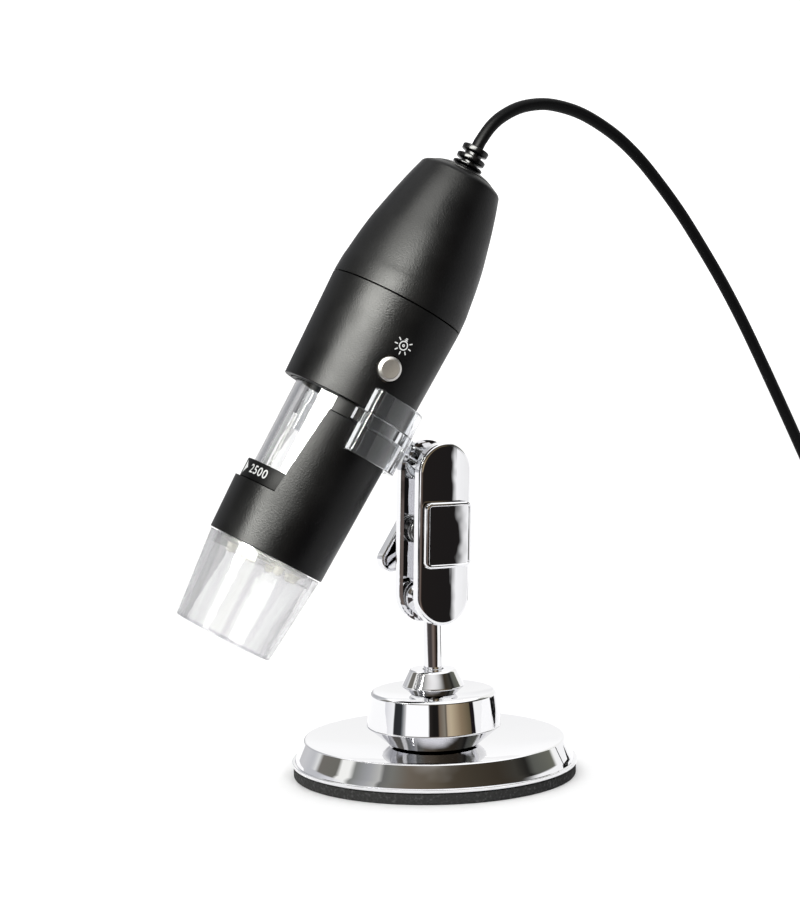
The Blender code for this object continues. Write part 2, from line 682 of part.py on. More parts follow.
def build_hub():
    """Heavy turned foot of the stem, undercut below and dished on top."""
    bore = STEM_RADIUS + SEAT_GAP
    screw_bore = BASE_SCREW_RADIUS + SEAT_GAP
    floor = HUB_SEAT - STEM_DEPTH_IN_HUB - SEAT_GAP
    flare = HUB_BOTTOM + HUB_FLARE_RISE
    outline = [
        (bore, HUB_SEAT),
        (COLLAR_FOOT_RADIUS, HUB_SEAT),
        ((COLLAR_FOOT_RADIUS + HUB_TOP_RADIUS) / 2, HUB_SEAT + HUB_DISH_DEPTH / 3),
        (HUB_TOP_RADIUS - HUB_EDGE, HUB_TOP),
        (HUB_TOP_RADIUS, HUB_TOP - HUB_EDGE),
        (HUB_FLARE_RADIUS, flare + HUB_EDGE / 2),
        (HUB_FLARE_RADIUS, flare),
        (HUB_FOOT_RADIUS, HUB_BOTTOM),
        (screw_bore, HUB_BOTTOM),
        (screw_bore, floor),
        (bore, floor),
    ]
    turned("hub", outline, CHROME, steps=HUB_STEPS)


def build_stem_collar():
    """Undercut and tapered nut round the foot of the stem."""
    bore = STEM_RADIUS + SEAT_GAP
    top = COLLAR_BOTTOM + COLLAR_HEIGHT
    waist = COLLAR_BOTTOM + COLLAR_UNDERCUT
    outline = [
        (bore, top),
        (COLLAR_TOP_RADIUS - COLLAR_EDGE, top),
        (COLLAR_TOP_RADIUS, top - COLLAR_EDGE),
        (COLLAR_WIDE_RADIUS, waist + COLLAR_EDGE),
        (COLLAR_WIDE_RADIUS, waist),
        (COLLAR_FOOT_RADIUS, COLLAR_BOTTOM),
        (bore, COLLAR_BOTTOM),
    ]
    turned("stem_collar", outline, CHROME, steps=COLLAR_STEPS)


def build_ball_stem():
    """Stem and lower ball, turned from one bar, in the frame of the ball."""
    bottom = HUB_SEAT - STEM_DEPTH_IN_HUB - LOWER_BALL_HEIGHT
    neck_angle = math.asin(STEM_RADIUS / BALL_RADIUS)
    ball_steps = SMALL_STEPS // 2
    ball = [
        (
            BALL_RADIUS * math.sin((math.pi - neck_angle) * i / ball_steps),
            BALL_RADIUS * math.cos((math.pi - neck_angle) * i / ball_steps),
        )
        for i in range(ball_steps + 1)
    ]
    foot = [(STEM_RADIUS, bottom + STEM_EDGE), (STEM_RADIUS - STEM_EDGE, bottom), (0, bottom)]
    turned("ball_stem", ball + foot, CHROME, STEM_AXIS, steps=SMALL_STEPS, closed=False)


def standing(height, depth):
    """A matrix that stands a flat outline up in the clamp's plane, at a height and a depth."""
    return Matrix.Translation((0, depth, height)) @ Matrix.Rotation(math.pi / 2, 4, "X")


def build_clamp_plate(name, side):
    """One obround plate. Side is -1 for the front plate and 1 for the back one."""
    middle = BALL_SPACING / 2
    band = PLATE_THICKNESS - PLATE_LIP
    band_depth = side * (PLATE_OUTSIDE - band / 2)
    outline = obround(CLAMP_WIDTH, CLAMP_LENGTH, PLATE_ARC_POINTS)
    plate = add_part(name, plate_mesh(name, outline, band, standing(middle, band_depth)), CHROME, CLAMP_AXIS)
    add_bevel(plate, PLATE_ROUNDING)
    inset = 2 * PLATE_LIP_INSET
    lip = obround(CLAMP_WIDTH - inset, CLAMP_LENGTH - inset, PLATE_ARC_POINTS)
    lip_thickness = PLATE_THICKNESS / 2
    lip_depth = side * (CLAMP_GAP + lip_thickness) / 2
    combine(plate, name + "_lip", plate_mesh(name, lip, lip_thickness, standing(middle, lip_depth)), "UNION")
    pocket = BALL_RADIUS + SEAT_GAP
    for end, height in (("lower", 0), ("upper", BALL_SPACING)):
        combine(plate, f"{name}_{end}_pocket", ball_mesh(name, pocket, (0, 0, height)))
    reach = side * (PLATE_OUTSIDE + OVERRUN)
    bore = CLAMP_SCREW_RADIUS + SEAT_GAP
    combine(plate, name + "_bore", cylinder_mesh(name, bore, (0, 0, middle), (0, reach, middle)))
    if side < 0:
        floor = side * (PLATE_OUTSIDE - CLAMP_HEAD_SINK)
        sink = CLAMP_HEAD_RADIUS + SEAT_GAP
        combine(plate, name + "_sink", cylinder_mesh(name, sink, (0, floor, middle), (0, reach, middle)))


def build_screw_cover():
    """Raised rounded rectangle over the head of the clamp screw."""
    depth = -(PLATE_OUTSIDE + SEAT_GAP + COVER_THICKNESS / 2)
    outline = rounded_rectangle(COVER_WIDTH, COVER_HEIGHT, COVER_CORNER, COVER_CORNER_POINTS)
    place = standing(BALL_SPACING / 2, depth)
    cover = add_part("screw_cover", plate_mesh("screw_cover", outline, COVER_THICKNESS, place), CHROME, CLAMP_AXIS)
    add_bevel(cover, COVER_BEVEL, 1)


def clamp_screw_end():
    """Where the clamp screw ends behind the wing nut."""
    return PLATE_OUTSIDE + WASHER_THICKNESS + WING_THICKNESS + 2 * SEAT_GAP + SCREW_STICK_OUT


def build_clamp_screw():
    """Screw that draws the plates together, its head sunk in the front plate."""
    middle = BALL_SPACING / 2
    head_back = -(PLATE_OUTSIDE - CLAMP_HEAD_SINK + SEAT_GAP)
    head_front = head_back - CLAMP_HEAD_HEIGHT
    start = (head_front + head_back) / 2
    shank = cylinder_mesh("shank", CLAMP_SCREW_RADIUS, (0, start, middle), (0, clamp_screw_end(), middle))
    screw = add_part("clamp_screw", shank, STEEL, CLAMP_AXIS)
    head = cylinder_mesh("head", CLAMP_HEAD_RADIUS, (0, head_front, middle), (0, head_back, middle))
    combine(screw, "clamp_screw_head", head, "UNION")


def build_clamp_washer():
    """Washer between the back plate and the wing nut."""
    middle = BALL_SPACING / 2
    near = PLATE_OUTSIDE + SEAT_GAP
    far = near + WASHER_THICKNESS
    washer = add_part(
        "clamp_washer", cylinder_mesh("washer", WASHER_RADIUS, (0, near, middle), (0, far, middle)), STEEL, CLAMP_AXIS
    )
    bore = CLAMP_SCREW_RADIUS + SEAT_GAP
    hole = cylinder_mesh("hole", bore, (0, near - OVERRUN, middle), (0, far + OVERRUN, middle))
    combine(washer, "clamp_washer_hole", hole)


def build_wing_nut():
    """Nut with two rounded wings, in the frame of the screw's middle."""
    near = PLATE_OUTSIDE + WASHER_THICKNESS + 2 * SEAT_GAP
    far = near + WING_THICKNESS
    nut = add_part(
        "wing_nut", cylinder_mesh("wing_nut", WING_HUB_RADIUS, (0, near, 0), (0, far, 0)), CHROME, WING_AXIS
    )
    lean = math.asin((WING_ROOT_RADIUS - WING_TIP_RADIUS) / WING_REACH)
    quarter = math.pi / 2
    outline = arc((0, 0), WING_ROOT_RADIUS, quarter - lean, 3 * quarter + lean, PLATE_ARC_POINTS)
    outline += arc((WING_REACH, 0), WING_TIP_RADIUS, lean - quarter, quarter - lean, PLATE_ARC_POINTS)
    for number, angle in enumerate((WING_REST_ANGLE, WING_REST_ANGLE + math.pi)):
        place = (
            Matrix.Translation((0, (near + far) / 2, 0))
            @ Matrix.Rotation(-angle, 4, "Y")
            @ Matrix.Rotation(quarter, 4, "X")
        )
        wing = plate_mesh("wing", outline, WING_THICKNESS - 2 * WING_ROUNDING, place)
        combine(nut, f"wing_{number}", wing, "UNION")
    bore = CLAMP_SCREW_RADIUS + SEAT_GAP
    hole = cylinder_mesh("hole", bore, (0, near - OVERRUN, 0), (0, far + OVERRUN, 0))
    combine(nut, "wing_nut_hole", hole)


def least_gap(points, diameter, skipped):
    """Least distance between a tube's surface and itself, leaving out a point's near neighbours."""
    nearest = min(
        (Vector(a) - Vector(b)).length
        for i, a in enumerate(points)
        for b in points[i + skipped:]
    )
    return nearest - diameter


def build_clamp_spring():
    """Short open spring round the screw, which holds the loosened plates apart."""
    middle = BALL_SPACING / 2
    reach = CLAMP_GAP / 2 - SEAT_GAP - SPRING_WIRE / 2
    steps = int(SPRING_TURNS * SPRING_TURN_POINTS)
    coil = []
    for step in range(steps + 1):
        turn = FULL_TURN * step / SPRING_TURN_POINTS
        depth = reach * (2 * step / steps - 1)
        coil.append(Vector((SPRING_RADIUS * math.cos(turn), depth, middle + SPRING_RADIUS * math.sin(turn))))
    start = coil[0] + (coil[0] - coil[1]).normalized() * SPRING_WIRE
    end = coil[-1] + (coil[-1] - coil[-2]).normalized() * SPRING_WIRE
    start.y, end.y = coil[0].y, coil[-1].y
    route = [start, *coil, end]
    print("clamp spring, least gap to itself in mm:", least_gap(coil, SPRING_WIRE, SPRING_TURN_POINTS // 2) / MM)
    tube("clamp_spring", route, SPRING_WIRE, 1, STEEL, CLAMP_AXIS)


def build_holder_ball():
    """Upper ball, bored for the pin of the clip's neck."""
    ball = add_part("holder_ball", ball_mesh("holder_ball", BALL_RADIUS, (0, 0, 0)), CLEAR, HOLDER_AXIS)
    bore = NECK_PIN_RADIUS + SEAT_GAP
    floor = NECK_PIN_DEPTH + SEAT_GAP - BALL_RADIUS
    hole = cylinder_mesh("hole", bore, (floor, 0, 0), (-BALL_RADIUS - OVERRUN, 0, 0))
    combine(ball, "holder_ball_bore", hole)


def clip_frame_mesh(mesh):
    """Move a mesh from the tube's frame to the clip's, whose middle is level with the ball."""
    mesh.transform(Matrix.Translation((-HOLDER_REACH, 0, CLIP_STATION)))
    return mesh


def build_holder_clip():
    """Clear spring clip round the tube, with a rib in the groove, end flanges and a neck."""
    half = CLIP_WIDTH / 2
    band = [
        (CLIP_BACK, half), (CLIP_BACK, -half), (CLIP_RADIUS, -half), (CLIP_RADIUS, half),
    ]
    rib_top = CLIP_RIB_SHIFT + CLIP_RIB_WIDTH / 2
    rib_low = CLIP_RIB_SHIFT - CLIP_RIB_WIDTH / 2
    rib_outer = CLIP_RADIUS + CLIP_THICKNESS / 2
    rib = [(rib_outer, rib_top), (rib_outer, rib_low), (CLIP_RIB_RADIUS, rib_low), (CLIP_RIB_RADIUS, rib_top)]
    middle_frame = Matrix.Translation((-HOLDER_REACH, 0, 0))
    centre = new_frame("clip_centre", middle_frame, CLIP_AXIS)
    clip = turned("holder_clip", band, CLEAR, centre)
    slice_radius = CLIP_BACK + OVERRUN
    gap = sector_mesh("gap", slice_radius, -half - OVERRUN, half + OVERRUN,
                      (CLIP_FRONT_SPAN, CLIP_FRONT_SPAN), FULL_TURN - CLIP_REAR_SPAN)
    combine(clip, "clip_gap", gap)
    ring = add_cutter("clip_rib", profile_mesh("clip_rib", rib, True), centre)
    add_screw(ring, TUBE_STEPS)
    rib_start = CLIP_FRONT_SPAN + CLIP_RIB_OVERHANG
    rib_end = FULL_TURN - CLIP_REAR_SPAN - CLIP_RIB_OVERHANG
    rib_gap = add_cutter(
        "clip_rib_gap", sector_mesh("rib_gap", slice_radius, -half, half, (rib_start, rib_start), rib_end), centre
    )
    trim = ring.modifiers.new("trim", "BOOLEAN")
    trim.solver = "EXACT"
    trim.object = rib_gap
    join = clip.modifiers.new("rib", "BOOLEAN")
    join.operation = "UNION"
    join.solver = "EXACT"
    join.object = ring
    for number, (side, span) in enumerate(((1, CLIP_FRONT_SPAN), (-1, CLIP_REAR_SPAN))):
        angle = side * (span - FLANGE_THICKNESS / 2 / CLIP_BACK)
        inner = CLIP_RADIUS + CLIP_THICKNESS / 3
        outer = CLIP_BACK + FLANGE_HEIGHT
        flange = block_mesh(
            "flange", (CLIP_WIDTH, FLANGE_THICKNESS, outer - inner),
            around(angle, (inner + outer) / 2, 0), outward(angle),
        )
        combine(clip, f"clip_flange_{number}", flange, "UNION")
    bar_end = HOLDER_REACH - NECK_BAR_CLEARANCE
    bar_start = CLIP_RADIUS + CLIP_THICKNESS / 3
    bar = block_mesh("bar", (bar_end - bar_start, NECK_THICKNESS, NECK_HEIGHT), ((bar_start + bar_end) / 2, 0, 0))
    combine(clip, "clip_bar", bar, "UNION")
    rod_end = HOLDER_REACH - BALL_RADIUS - SEAT_GAP
    rod = cylinder_mesh("rod", NECK_ROD_RADIUS - SEAT_GAP / 2, (bar_end - OVERRUN, 0, 0), (rod_end, 0, 0), TINY_STEPS)
    combine(clip, "clip_rod", rod, "UNION")
    pin_end = HOLDER_REACH - BALL_RADIUS + NECK_PIN_DEPTH
    pin = cylinder_mesh("pin", NECK_PIN_RADIUS, (rod_end - OVERRUN, 0, 0), (pin_end, 0, 0), TINY_STEPS)
    combine(clip, "clip_pin", pin, "UNION")


def build_tail_shell():
    """Rear half of the housing, which narrows to the cord."""
    outside = [(TUBE_RADIUS * radius, TAIL_LENGTH * along) for along, radius in TAIL_RADIUS_SHARES]
    inside = [(radius - HOUSING_WALL, height) for radius, height in outside[:-1]]
    end_radius, end_height = outside[-1]
    inner_end = end_radius - HOUSING_WALL
    ledge_height = end_height - TAIL_LEDGE
    outline = [(TAIL_OPENING_RADIUS, end_height + TAIL_RIM_RISE)] + outside[::-1] + inside
    outline += [(inner_end, ledge_height - HOUSING_WALL + TAIL_RIM_RISE), (TAIL_OPENING_RADIUS, ledge_height)]
    turned("tail_shell", outline, BLACK, TUBE_AXIS)


def build_front_shell():
    """Front half of the housing, with a spigot in the tail half and a hole for the button."""
    top_inside = housing_radius(HOUSING_WALL + SEAT_GAP) - HOUSING_WALL
    outline = [
        (SPIGOT_RADIUS, SPIGOT_HEIGHT),
        (SPIGOT_RADIUS, -SEAT_GAP),
        (housing_radius(SEAT_GAP), -SEAT_GAP),
        (housing_radius(HOUSING_END), -HOUSING_END),
        (housing_radius(HOUSING_END) - HOUSING_WALL, -HOUSING_END),
        (top_inside, -HOUSING_WALL - SEAT_GAP),
        (SPIGOT_BORE, -SEAT_GAP),
        (SPIGOT_BORE, SPIGOT_HEIGHT),
    ]
    shell = turned("front_shell", outline, BLACK, TUBE_AXIS)
    hole = cylinder_mesh(
        "hole", BUTTON_RADIUS + SEAT_GAP,
        around(BOARD_ANGLE, housing_radius(BUTTON_STATION) - 2 * HOUSING_WALL, BUTTON_STATION),
        around(BOARD_ANGLE, TUBE_RADIUS + OVERRUN, BUTTON_STATION), SMALL_STEPS,
    )
    combine(shell, "button_hole", hole)


def plug_top():
    """Height of the flat top of the tail plug."""
    return TAIL_LENGTH + TAIL_RIM_RISE + PLUG_PROUD + PLUG_DOME_RISE


def build_tail_plug():
    """Domed plate that closes the tail round the cord's strain relief."""
    radius = TAIL_OPENING_RADIUS - SEAT_GAP
    bore = RELIEF_NECK_RADIUS + SEAT_GAP
    bottom = TAIL_LENGTH - TAIL_LEDGE - HOUSING_WALL + TAIL_RIM_RISE
    rim = TAIL_LENGTH + TAIL_RIM_RISE + PLUG_PROUD
    outline = [
        (bore, plug_top()),
        (PLUG_FLAT_RADIUS, plug_top()),
        ((PLUG_FLAT_RADIUS + radius) / 2, rim + PLUG_DOME_RISE * 2 / 3),
        (radius, rim),
        (radius, bottom),
        (bore, bottom),
    ]
    turned("tail_plug", outline, RUBBER, TUBE_AXIS, steps=COLLAR_STEPS)


def relief_levels():
    """Lower and upper height of each ring of the strain relief, from the plug outwards."""
    levels, low = [], plug_top() + SEAT_GAP
    for height in RELIEF_RING_HEIGHTS:
        levels.append((low, low + height))
        low += height + RELIEF_RING_GAP
    return levels


def relief_top():
    """Height of the end face of the strain relief."""
    return relief_levels()[-1][1]


def build_strain_relief():
    """Ribbed boot of the cord, with a flange that holds it inside the tail plug."""
    plug_bottom = TAIL_LENGTH - TAIL_LEDGE - HOUSING_WALL + TAIL_RIM_RISE
    flange_top = plug_bottom - SEAT_GAP
    rings = []
    for radius, (low, high) in zip(RELIEF_RING_RADII, relief_levels()):
        rings += [(RELIEF_NECK_RADIUS, low), (radius, low), (radius, high - RELIEF_EDGE),
                  (radius - RELIEF_EDGE, high), (RELIEF_NECK_RADIUS, high)]
    outline = [(0, relief_top())] + rings[::-1][1:]
    outline += [
        (RELIEF_NECK_RADIUS, flange_top),
        (RELIEF_FLANGE_RADIUS, flange_top),
        (RELIEF_FLANGE_RADIUS, flange_top - RELIEF_FLANGE_HEIGHT),
        (0, flange_top - RELIEF_FLANGE_HEIGHT),
    ]
    turned("strain_relief", outline, RUBBER, TUBE_AXIS, steps=RELIEF_STEPS, closed=False)


def build_holding_ring():
    """Ring in the housing that holds the upper end of the clear tube."""
    outer = housing_radius(CLEAR_TOP + HOLDING_RING_HEIGHT) - HOUSING_WALL - SEAT_GAP
    bottom = -CLEAR_TOP - HOLDING_RING_HEIGHT
    outline = [(outer, -CLEAR_TOP), (outer, bottom), (RING_BORE, bottom), (RING_BORE, -CLEAR_TOP)]
    turned("holding_ring", outline, RUBBER, TUBE_AXIS)


def build_clear_tube():
    """Clear inner tube that joins the housing to the hood, with two guide slots."""
    outline = [
        (CLEAR_RADIUS, -CLEAR_TOP), (CLEAR_RADIUS, -CLEAR_END), (CLEAR_BORE, -CLEAR_END), (CLEAR_BORE, -CLEAR_TOP),
    ]
    clear = turned("clear_tube", outline, CLEAR, TUBE_AXIS)
    top = carriage_top() - FOCUS_TRAVEL - SEAT_GAP
    bottom = carriage_top() + GUIDE_LUG_HEIGHT + SEAT_GAP
    for number, angle in enumerate(GUIDE_ANGLES):
        slot = block_mesh(
            "slot", (bottom - top, GUIDE_SLOT_WIDTH, 2 * CLEAR_WALL + OVERRUN),
            around(angle, CLEAR_RADIUS - CLEAR_WALL / 2, (top + bottom) / 2), outward(angle),
        )
        combine(clear, f"guide_slot_{number}", slot)


def build_hood():
    """Clear cup round the lamps, open at the tip, sleeved over the clear tube."""
    top = SLEEVE_END + SEAT_GAP
    shoulder = CLEAR_END + SEAT_GAP
    step_radius = CLEAR_BORE + CLEAR_WALL / 2
    outline = [
        (HOOD_TOP_RADIUS, -top),
        (HOOD_END_RADIUS, -HOOD_END),
        (HOOD_END_RADIUS - HOOD_WALL, -HOOD_END),
        (step_radius, -shoulder),
        (RING_BORE, -shoulder),
        (RING_BORE, -top),
    ]
    turned("hood", outline, CLEAR, TUBE_AXIS)


def build_lamp_board():
    """Ring board behind the lamps."""
    outer = CLEAR_BORE - SEAT_GAP
    top = LAMP_BOARD_STATION
    bottom = top + LAMP_BOARD_THICKNESS
    outline = [(outer, -top), (outer, -bottom), (LAMP_BOARD_BORE, -bottom), (LAMP_BOARD_BORE, -top)]
    turned("lamp_board", outline, BOARD, TUBE_AXIS, steps=COLLAR_STEPS)


def build_lamps():
    """Ring of lamps that shine out of the hood."""
    base = LAMP_BOARD_STATION + LAMP_BOARD_THICKNESS + SEAT_GAP
    tip = base + LAMP_HEIGHT
    dome = tip - LAMP_RADIUS
    shoulder = LAMP_RADIUS * math.sqrt(0.5)
    outline = [
        (0, -base),
        (LAMP_RADIUS, -base),
        (LAMP_RADIUS, -dome),
        (shoulder, -dome - shoulder),
        (0, -tip),
    ]
    for number in range(LAMP_COUNT):
        centre = around(FULL_TURN * number / LAMP_COUNT, LAMP_RING_RADIUS, 0)
        lamp = turned(f"lamp_{number + 1}", outline, LAMP, TUBE_AXIS, steps=TINY_STEPS, closed=False)
        lamp.location = centre


def build_focus_sleeve():
    """Focus sleeve: a long tapered grip with a window, and a neck that turns in the housing."""
    outline = [
        (SLEEVE_NECK_RADIUS, -SLEEVE_NECK_TOP),
        (SLEEVE_NECK_RADIUS, -SLEEVE_TOP),
        (housing_radius(SLEEVE_TOP) - SLEEVE_EDGE, -SLEEVE_TOP),
        (housing_radius(SLEEVE_TOP + SLEEVE_EDGE), -SLEEVE_TOP - SLEEVE_EDGE),
        (SLEEVE_END_RADIUS, -SLEEVE_END),
        (RING_BORE, -SLEEVE_END),
        (RING_BORE, -SLEEVE_SEAT),
        (SLEEVE_BORE, -SLEEVE_SEAT),
        (SLEEVE_BORE, -SLEEVE_TOP - SLEEVE_TOP_WALL),
        (RING_BORE, -SLEEVE_TOP - SLEEVE_TOP_WALL),
        (RING_BORE, -SLEEVE_NECK_TOP),
    ]
    sleeve = turned("focus_sleeve", outline, BLACK, SLEEVE_AXIS)
    window = sector_mesh(
        "window", TUBE_RADIUS + OVERRUN, WINDOW_TOP, WINDOW_BOTTOM,
        (WINDOW_FRONT_TOP, WINDOW_FRONT_BOTTOM), WINDOW_REAR,
    )
    combine(sleeve, "sleeve_window", window)


def build_index_ring():
    """Ring that shows in the window how far the lens has been drawn in."""
    outline = [
        (INDEX_RADIUS, -INDEX_TOP), (INDEX_RADIUS, -INDEX_BOTTOM), (RING_BORE, -INDEX_BOTTOM), (RING_BORE, -INDEX_TOP),
    ]
    turned("index_ring", outline, BLACK, CARRIAGE_AXIS)


def carriage_top():
    """Station where the lens carriage starts, under the sensor board."""
    return INDEX_TOP + SENSOR_BOARD_THICKNESS + 2 * SEAT_GAP


def build_lens_carriage():
    """Slide that carries sensor and lens, with two lugs through the guide slots."""
    top = carriage_top()
    bottom = top + CARRIAGE_LENGTH
    outer = CLEAR_BORE - SEAT_GAP
    bore = BARREL_RADIUS + SEAT_GAP
    outline = [
        (outer, -top),
        (outer, -bottom),
        (bore, -bottom),
        (bore, -top - CARRIAGE_RECESS_DEPTH),
        (CARRIAGE_RECESS_RADIUS, -top - CARRIAGE_RECESS_DEPTH),
        (CARRIAGE_RECESS_RADIUS, -top),
    ]
    carriage = turned("lens_carriage", outline, RUBBER, CARRIAGE_AXIS)
    inner = (outer + bore) / 2
    tip = RING_BORE - SEAT_GAP
    for number, angle in enumerate(GUIDE_ANGLES):
        lug = block_mesh(
            "lug", (GUIDE_LUG_HEIGHT, GUIDE_SLOT_WIDTH - 2 * SEAT_GAP, tip - inner),
            around(angle, (inner + tip) / 2, top + GUIDE_LUG_HEIGHT / 2), outward(angle),
        )
        combine(carriage, f"guide_lug_{number}", lug, "UNION")


def build_sensor():
    """Sensor board and the image sensor under it."""
    top = INDEX_TOP + SEAT_GAP
    bottom = top + SENSOR_BOARD_THICKNESS
    board = cylinder_mesh("sensor_board", CLEAR_BORE - 2 * SEAT_GAP, (0, 0, -top), (0, 0, -bottom), COLLAR_STEPS)
    add_part("sensor_board", board, BOARD, CARRIAGE_AXIS)
    centre = (0, 0, -bottom - SEAT_GAP - SENSOR_THICKNESS / 2)
    sensor = block_mesh("image_sensor", (SENSOR_SIDE, SENSOR_SIDE, SENSOR_THICKNESS), centre)
    add_part("image_sensor", sensor, CHIP, CARRIAGE_AXIS)


def build_lens():
    """Lens barrel in the carriage, and the front lens in the barrel."""
    top = carriage_top() + CARRIAGE_RECESS_DEPTH + SEAT_GAP
    bore = BARREL_RADIUS - BARREL_WALL
    lip = bore - BARREL_RING
    lip_top = BARREL_END - BARREL_RING
    outline = [
        (BARREL_RADIUS, -top),
        (BARREL_RADIUS, -BARREL_END),
        (lip, -BARREL_END),
        (lip, -lip_top),
        (bore, -lip_top),
        (bore, -top),
    ]
    turned("lens_barrel", outline, RUBBER, CARRIAGE_AXIS, steps=COLLAR_STEPS)
    radius = bore - SEAT_GAP
    bottom = lip_top - SEAT_GAP
    high = bottom - LENS_THICKNESS
    lens = [
        (0, -high + LENS_BULGE),
        (radius / 2, -high + LENS_BULGE * 3 / 4),
        (radius, -high),
        (radius, -bottom),
        (0, -bottom),
    ]
    turned("front_lens", lens, GLASS, CARRIAGE_AXIS, steps=SMALL_STEPS, closed=False)


def build_sensor_ribbon():
    """Flat lead from the sensor board up to the main board."""
    centre = around(RIBBON_ANGLE, RIBBON_OFFSET, INDEX_TOP - RIBBON_LENGTH / 2)
    size = (RIBBON_LENGTH, RIBBON_WIDTH, RIBBON_THICKNESS)
    add_part("sensor_ribbon", block_mesh("sensor_ribbon", size, centre, outward(RIBBON_ANGLE)), RIBBON, CARRIAGE_AXIS)


def on_board(name, size, offset, station, finish):
    """A block on the main board: size along the tube, across it and out of the board."""
    block = block_mesh(name, size, around(BOARD_ANGLE, offset, station), outward(BOARD_ANGLE))
    return add_part(name, block, finish, TUBE_AXIS)


def build_main_board():
    """Main board under the button, with its switch, chip and cord socket."""
    end = CLEAR_TOP - 2 * SEAT_GAP
    on_board("main_board", (BOARD_LENGTH, BOARD_WIDTH, BOARD_THICKNESS), BOARD_OFFSET, end - BOARD_LENGTH / 2, BOARD)
    face = BOARD_OFFSET + BOARD_THICKNESS / 2 + SEAT_GAP
    back = BOARD_OFFSET - BOARD_THICKNESS / 2 - SEAT_GAP
    switch = on_board(
        "lamp_switch", (SWITCH_SIDE, SWITCH_SIDE, SWITCH_HEIGHT), face + SWITCH_HEIGHT / 2, BUTTON_STATION, CHIP
    )
    plunger_top = face + SWITCH_HEIGHT + SWITCH_PLUNGER_HEIGHT
    plunger = cylinder_mesh(
        "plunger", SWITCH_PLUNGER_RADIUS,
        around(BOARD_ANGLE, face + SWITCH_HEIGHT / 2, BUTTON_STATION),
        around(BOARD_ANGLE, plunger_top, BUTTON_STATION), TINY_STEPS,
    )
    combine(switch, "switch_plunger", plunger, "UNION")
    on_board("control_chip", (CHIP_SIDE, CHIP_SIDE, CHIP_HEIGHT), back - CHIP_HEIGHT / 2, end - BOARD_LENGTH / 2, CHIP)
    socket_station = end - BOARD_LENGTH + SOCKET_DEPTH
    socket = (SOCKET_DEPTH, SOCKET_WIDTH, SOCKET_HEIGHT)
    on_board("cord_socket", socket, face + SOCKET_HEIGHT / 2, socket_station, LAMP)


def build_lamp_button():
    """Round push button, in a frame whose Z points out of the housing."""
    surface = housing_radius(BUTTON_STATION)
    plunger_top = BOARD_OFFSET + BOARD_THICKNESS / 2 + SEAT_GAP + SWITCH_HEIGHT + SWITCH_PLUNGER_HEIGHT
    pin_end = plunger_top + SEAT_GAP + BUTTON_TRAVEL - surface
    flange = -BUTTON_FLANGE_DEPTH
    outline = [
        (0, BUTTON_PROUD),
        (BUTTON_FACE_RADIUS, BUTTON_PROUD),
        (BUTTON_RADIUS, BUTTON_PROUD - BUTTON_CHAMFER),
        (BUTTON_RADIUS, flange),
        (BUTTON_FLANGE_RADIUS, flange),
        (BUTTON_FLANGE_RADIUS, flange - BUTTON_FLANGE_HEIGHT),
        (BUTTON_PIN_RADIUS, flange - BUTTON_FLANGE_HEIGHT),
        (BUTTON_PIN_RADIUS, pin_end),
        (0, pin_end),
    ]
    turned("lamp_button", outline, SILVER, BUTTON_AXIS, steps=SMALL_STEPS, closed=False)


def smooth_route(route, step):
    """Evenly spaced points of a smooth curve through the route's points."""
    knots = [Vector(point) for point in route]
    ends = [2 * knots[0] - knots[1]] + knots + [2 * knots[-1] - knots[-2]]
    fine = []
    pieces = 16
    for p0, p1, p2, p3 in zip(ends, ends[1:], ends[2:], ends[3:]):
        for i in range(pieces):
            t = i / pieces
            fine.append(
                (2 * p1 + (p2 - p0) * t + (2 * p0 - 5 * p1 + 4 * p2 - p3) * t**2
                 + (3 * p1 - p0 - 3 * p2 + p3) * t**3) / 2
            )
    fine.append(knots[-1])
    lengths = [0.0]
    for a, b in zip(fine, fine[1:]):
        lengths.append(lengths[-1] + (b - a).length)
    count = max(2, round(lengths[-1] / step))
    even, at = [], 0
    for i in range(count + 1):
        target = lengths[-1] * i / count
        while at < len(lengths) - 2 and lengths[at + 1] < target:
            at += 1
        share = (target - lengths[at]) / (lengths[at + 1] - lengths[at])
        even.append(fine[at].lerp(fine[at + 1], min(1.0, share)))
    return even


def route_length(route):
    """Length along a list of points."""
    return sum((b - a).length for a, b in zip(route, route[1:]))


def coil_route():
    """Piled loops that spiral in and out again, and climb where the spiral reverses."""
    loops = []
    for step in range(COIL_LAYERS * COIL_TURNS * COIL_LOOP_POINTS + 1):
        turn = step / COIL_LOOP_POINTS
        reversal = round(turn / COIL_TURNS)
        past = turn - reversal * COIL_TURNS
        if 0 < reversal < COIL_LAYERS and abs(past) < 1 / 4:
            level = reversal - 1 / 2 + 2 * past
        else:
            level = min(turn // COIL_TURNS, COIL_LAYERS - 1)
        phase = turn / COIL_TURNS % 2
        drawn_in = COIL_TURNS * min(phase, 2 - phase)
        radius = COIL_OUTER_RADIUS - COIL_PITCH * drawn_in
        angle = FULL_TURN * turn - math.pi / 2
        loops.append(Vector((
            COIL_CENTRE_X + radius * math.cos(angle),
            COIL_CENTRE_Y + radius * math.sin(angle),
            CORD_HEIGHT + COIL_PITCH * level,
        )))
    start = loops[0] - Vector((CORD_DIAMETER, 0, 0))
    end = loops[-1] + Vector((CORD_DIAMETER, 0, 0))
    return [start, *loops, end]


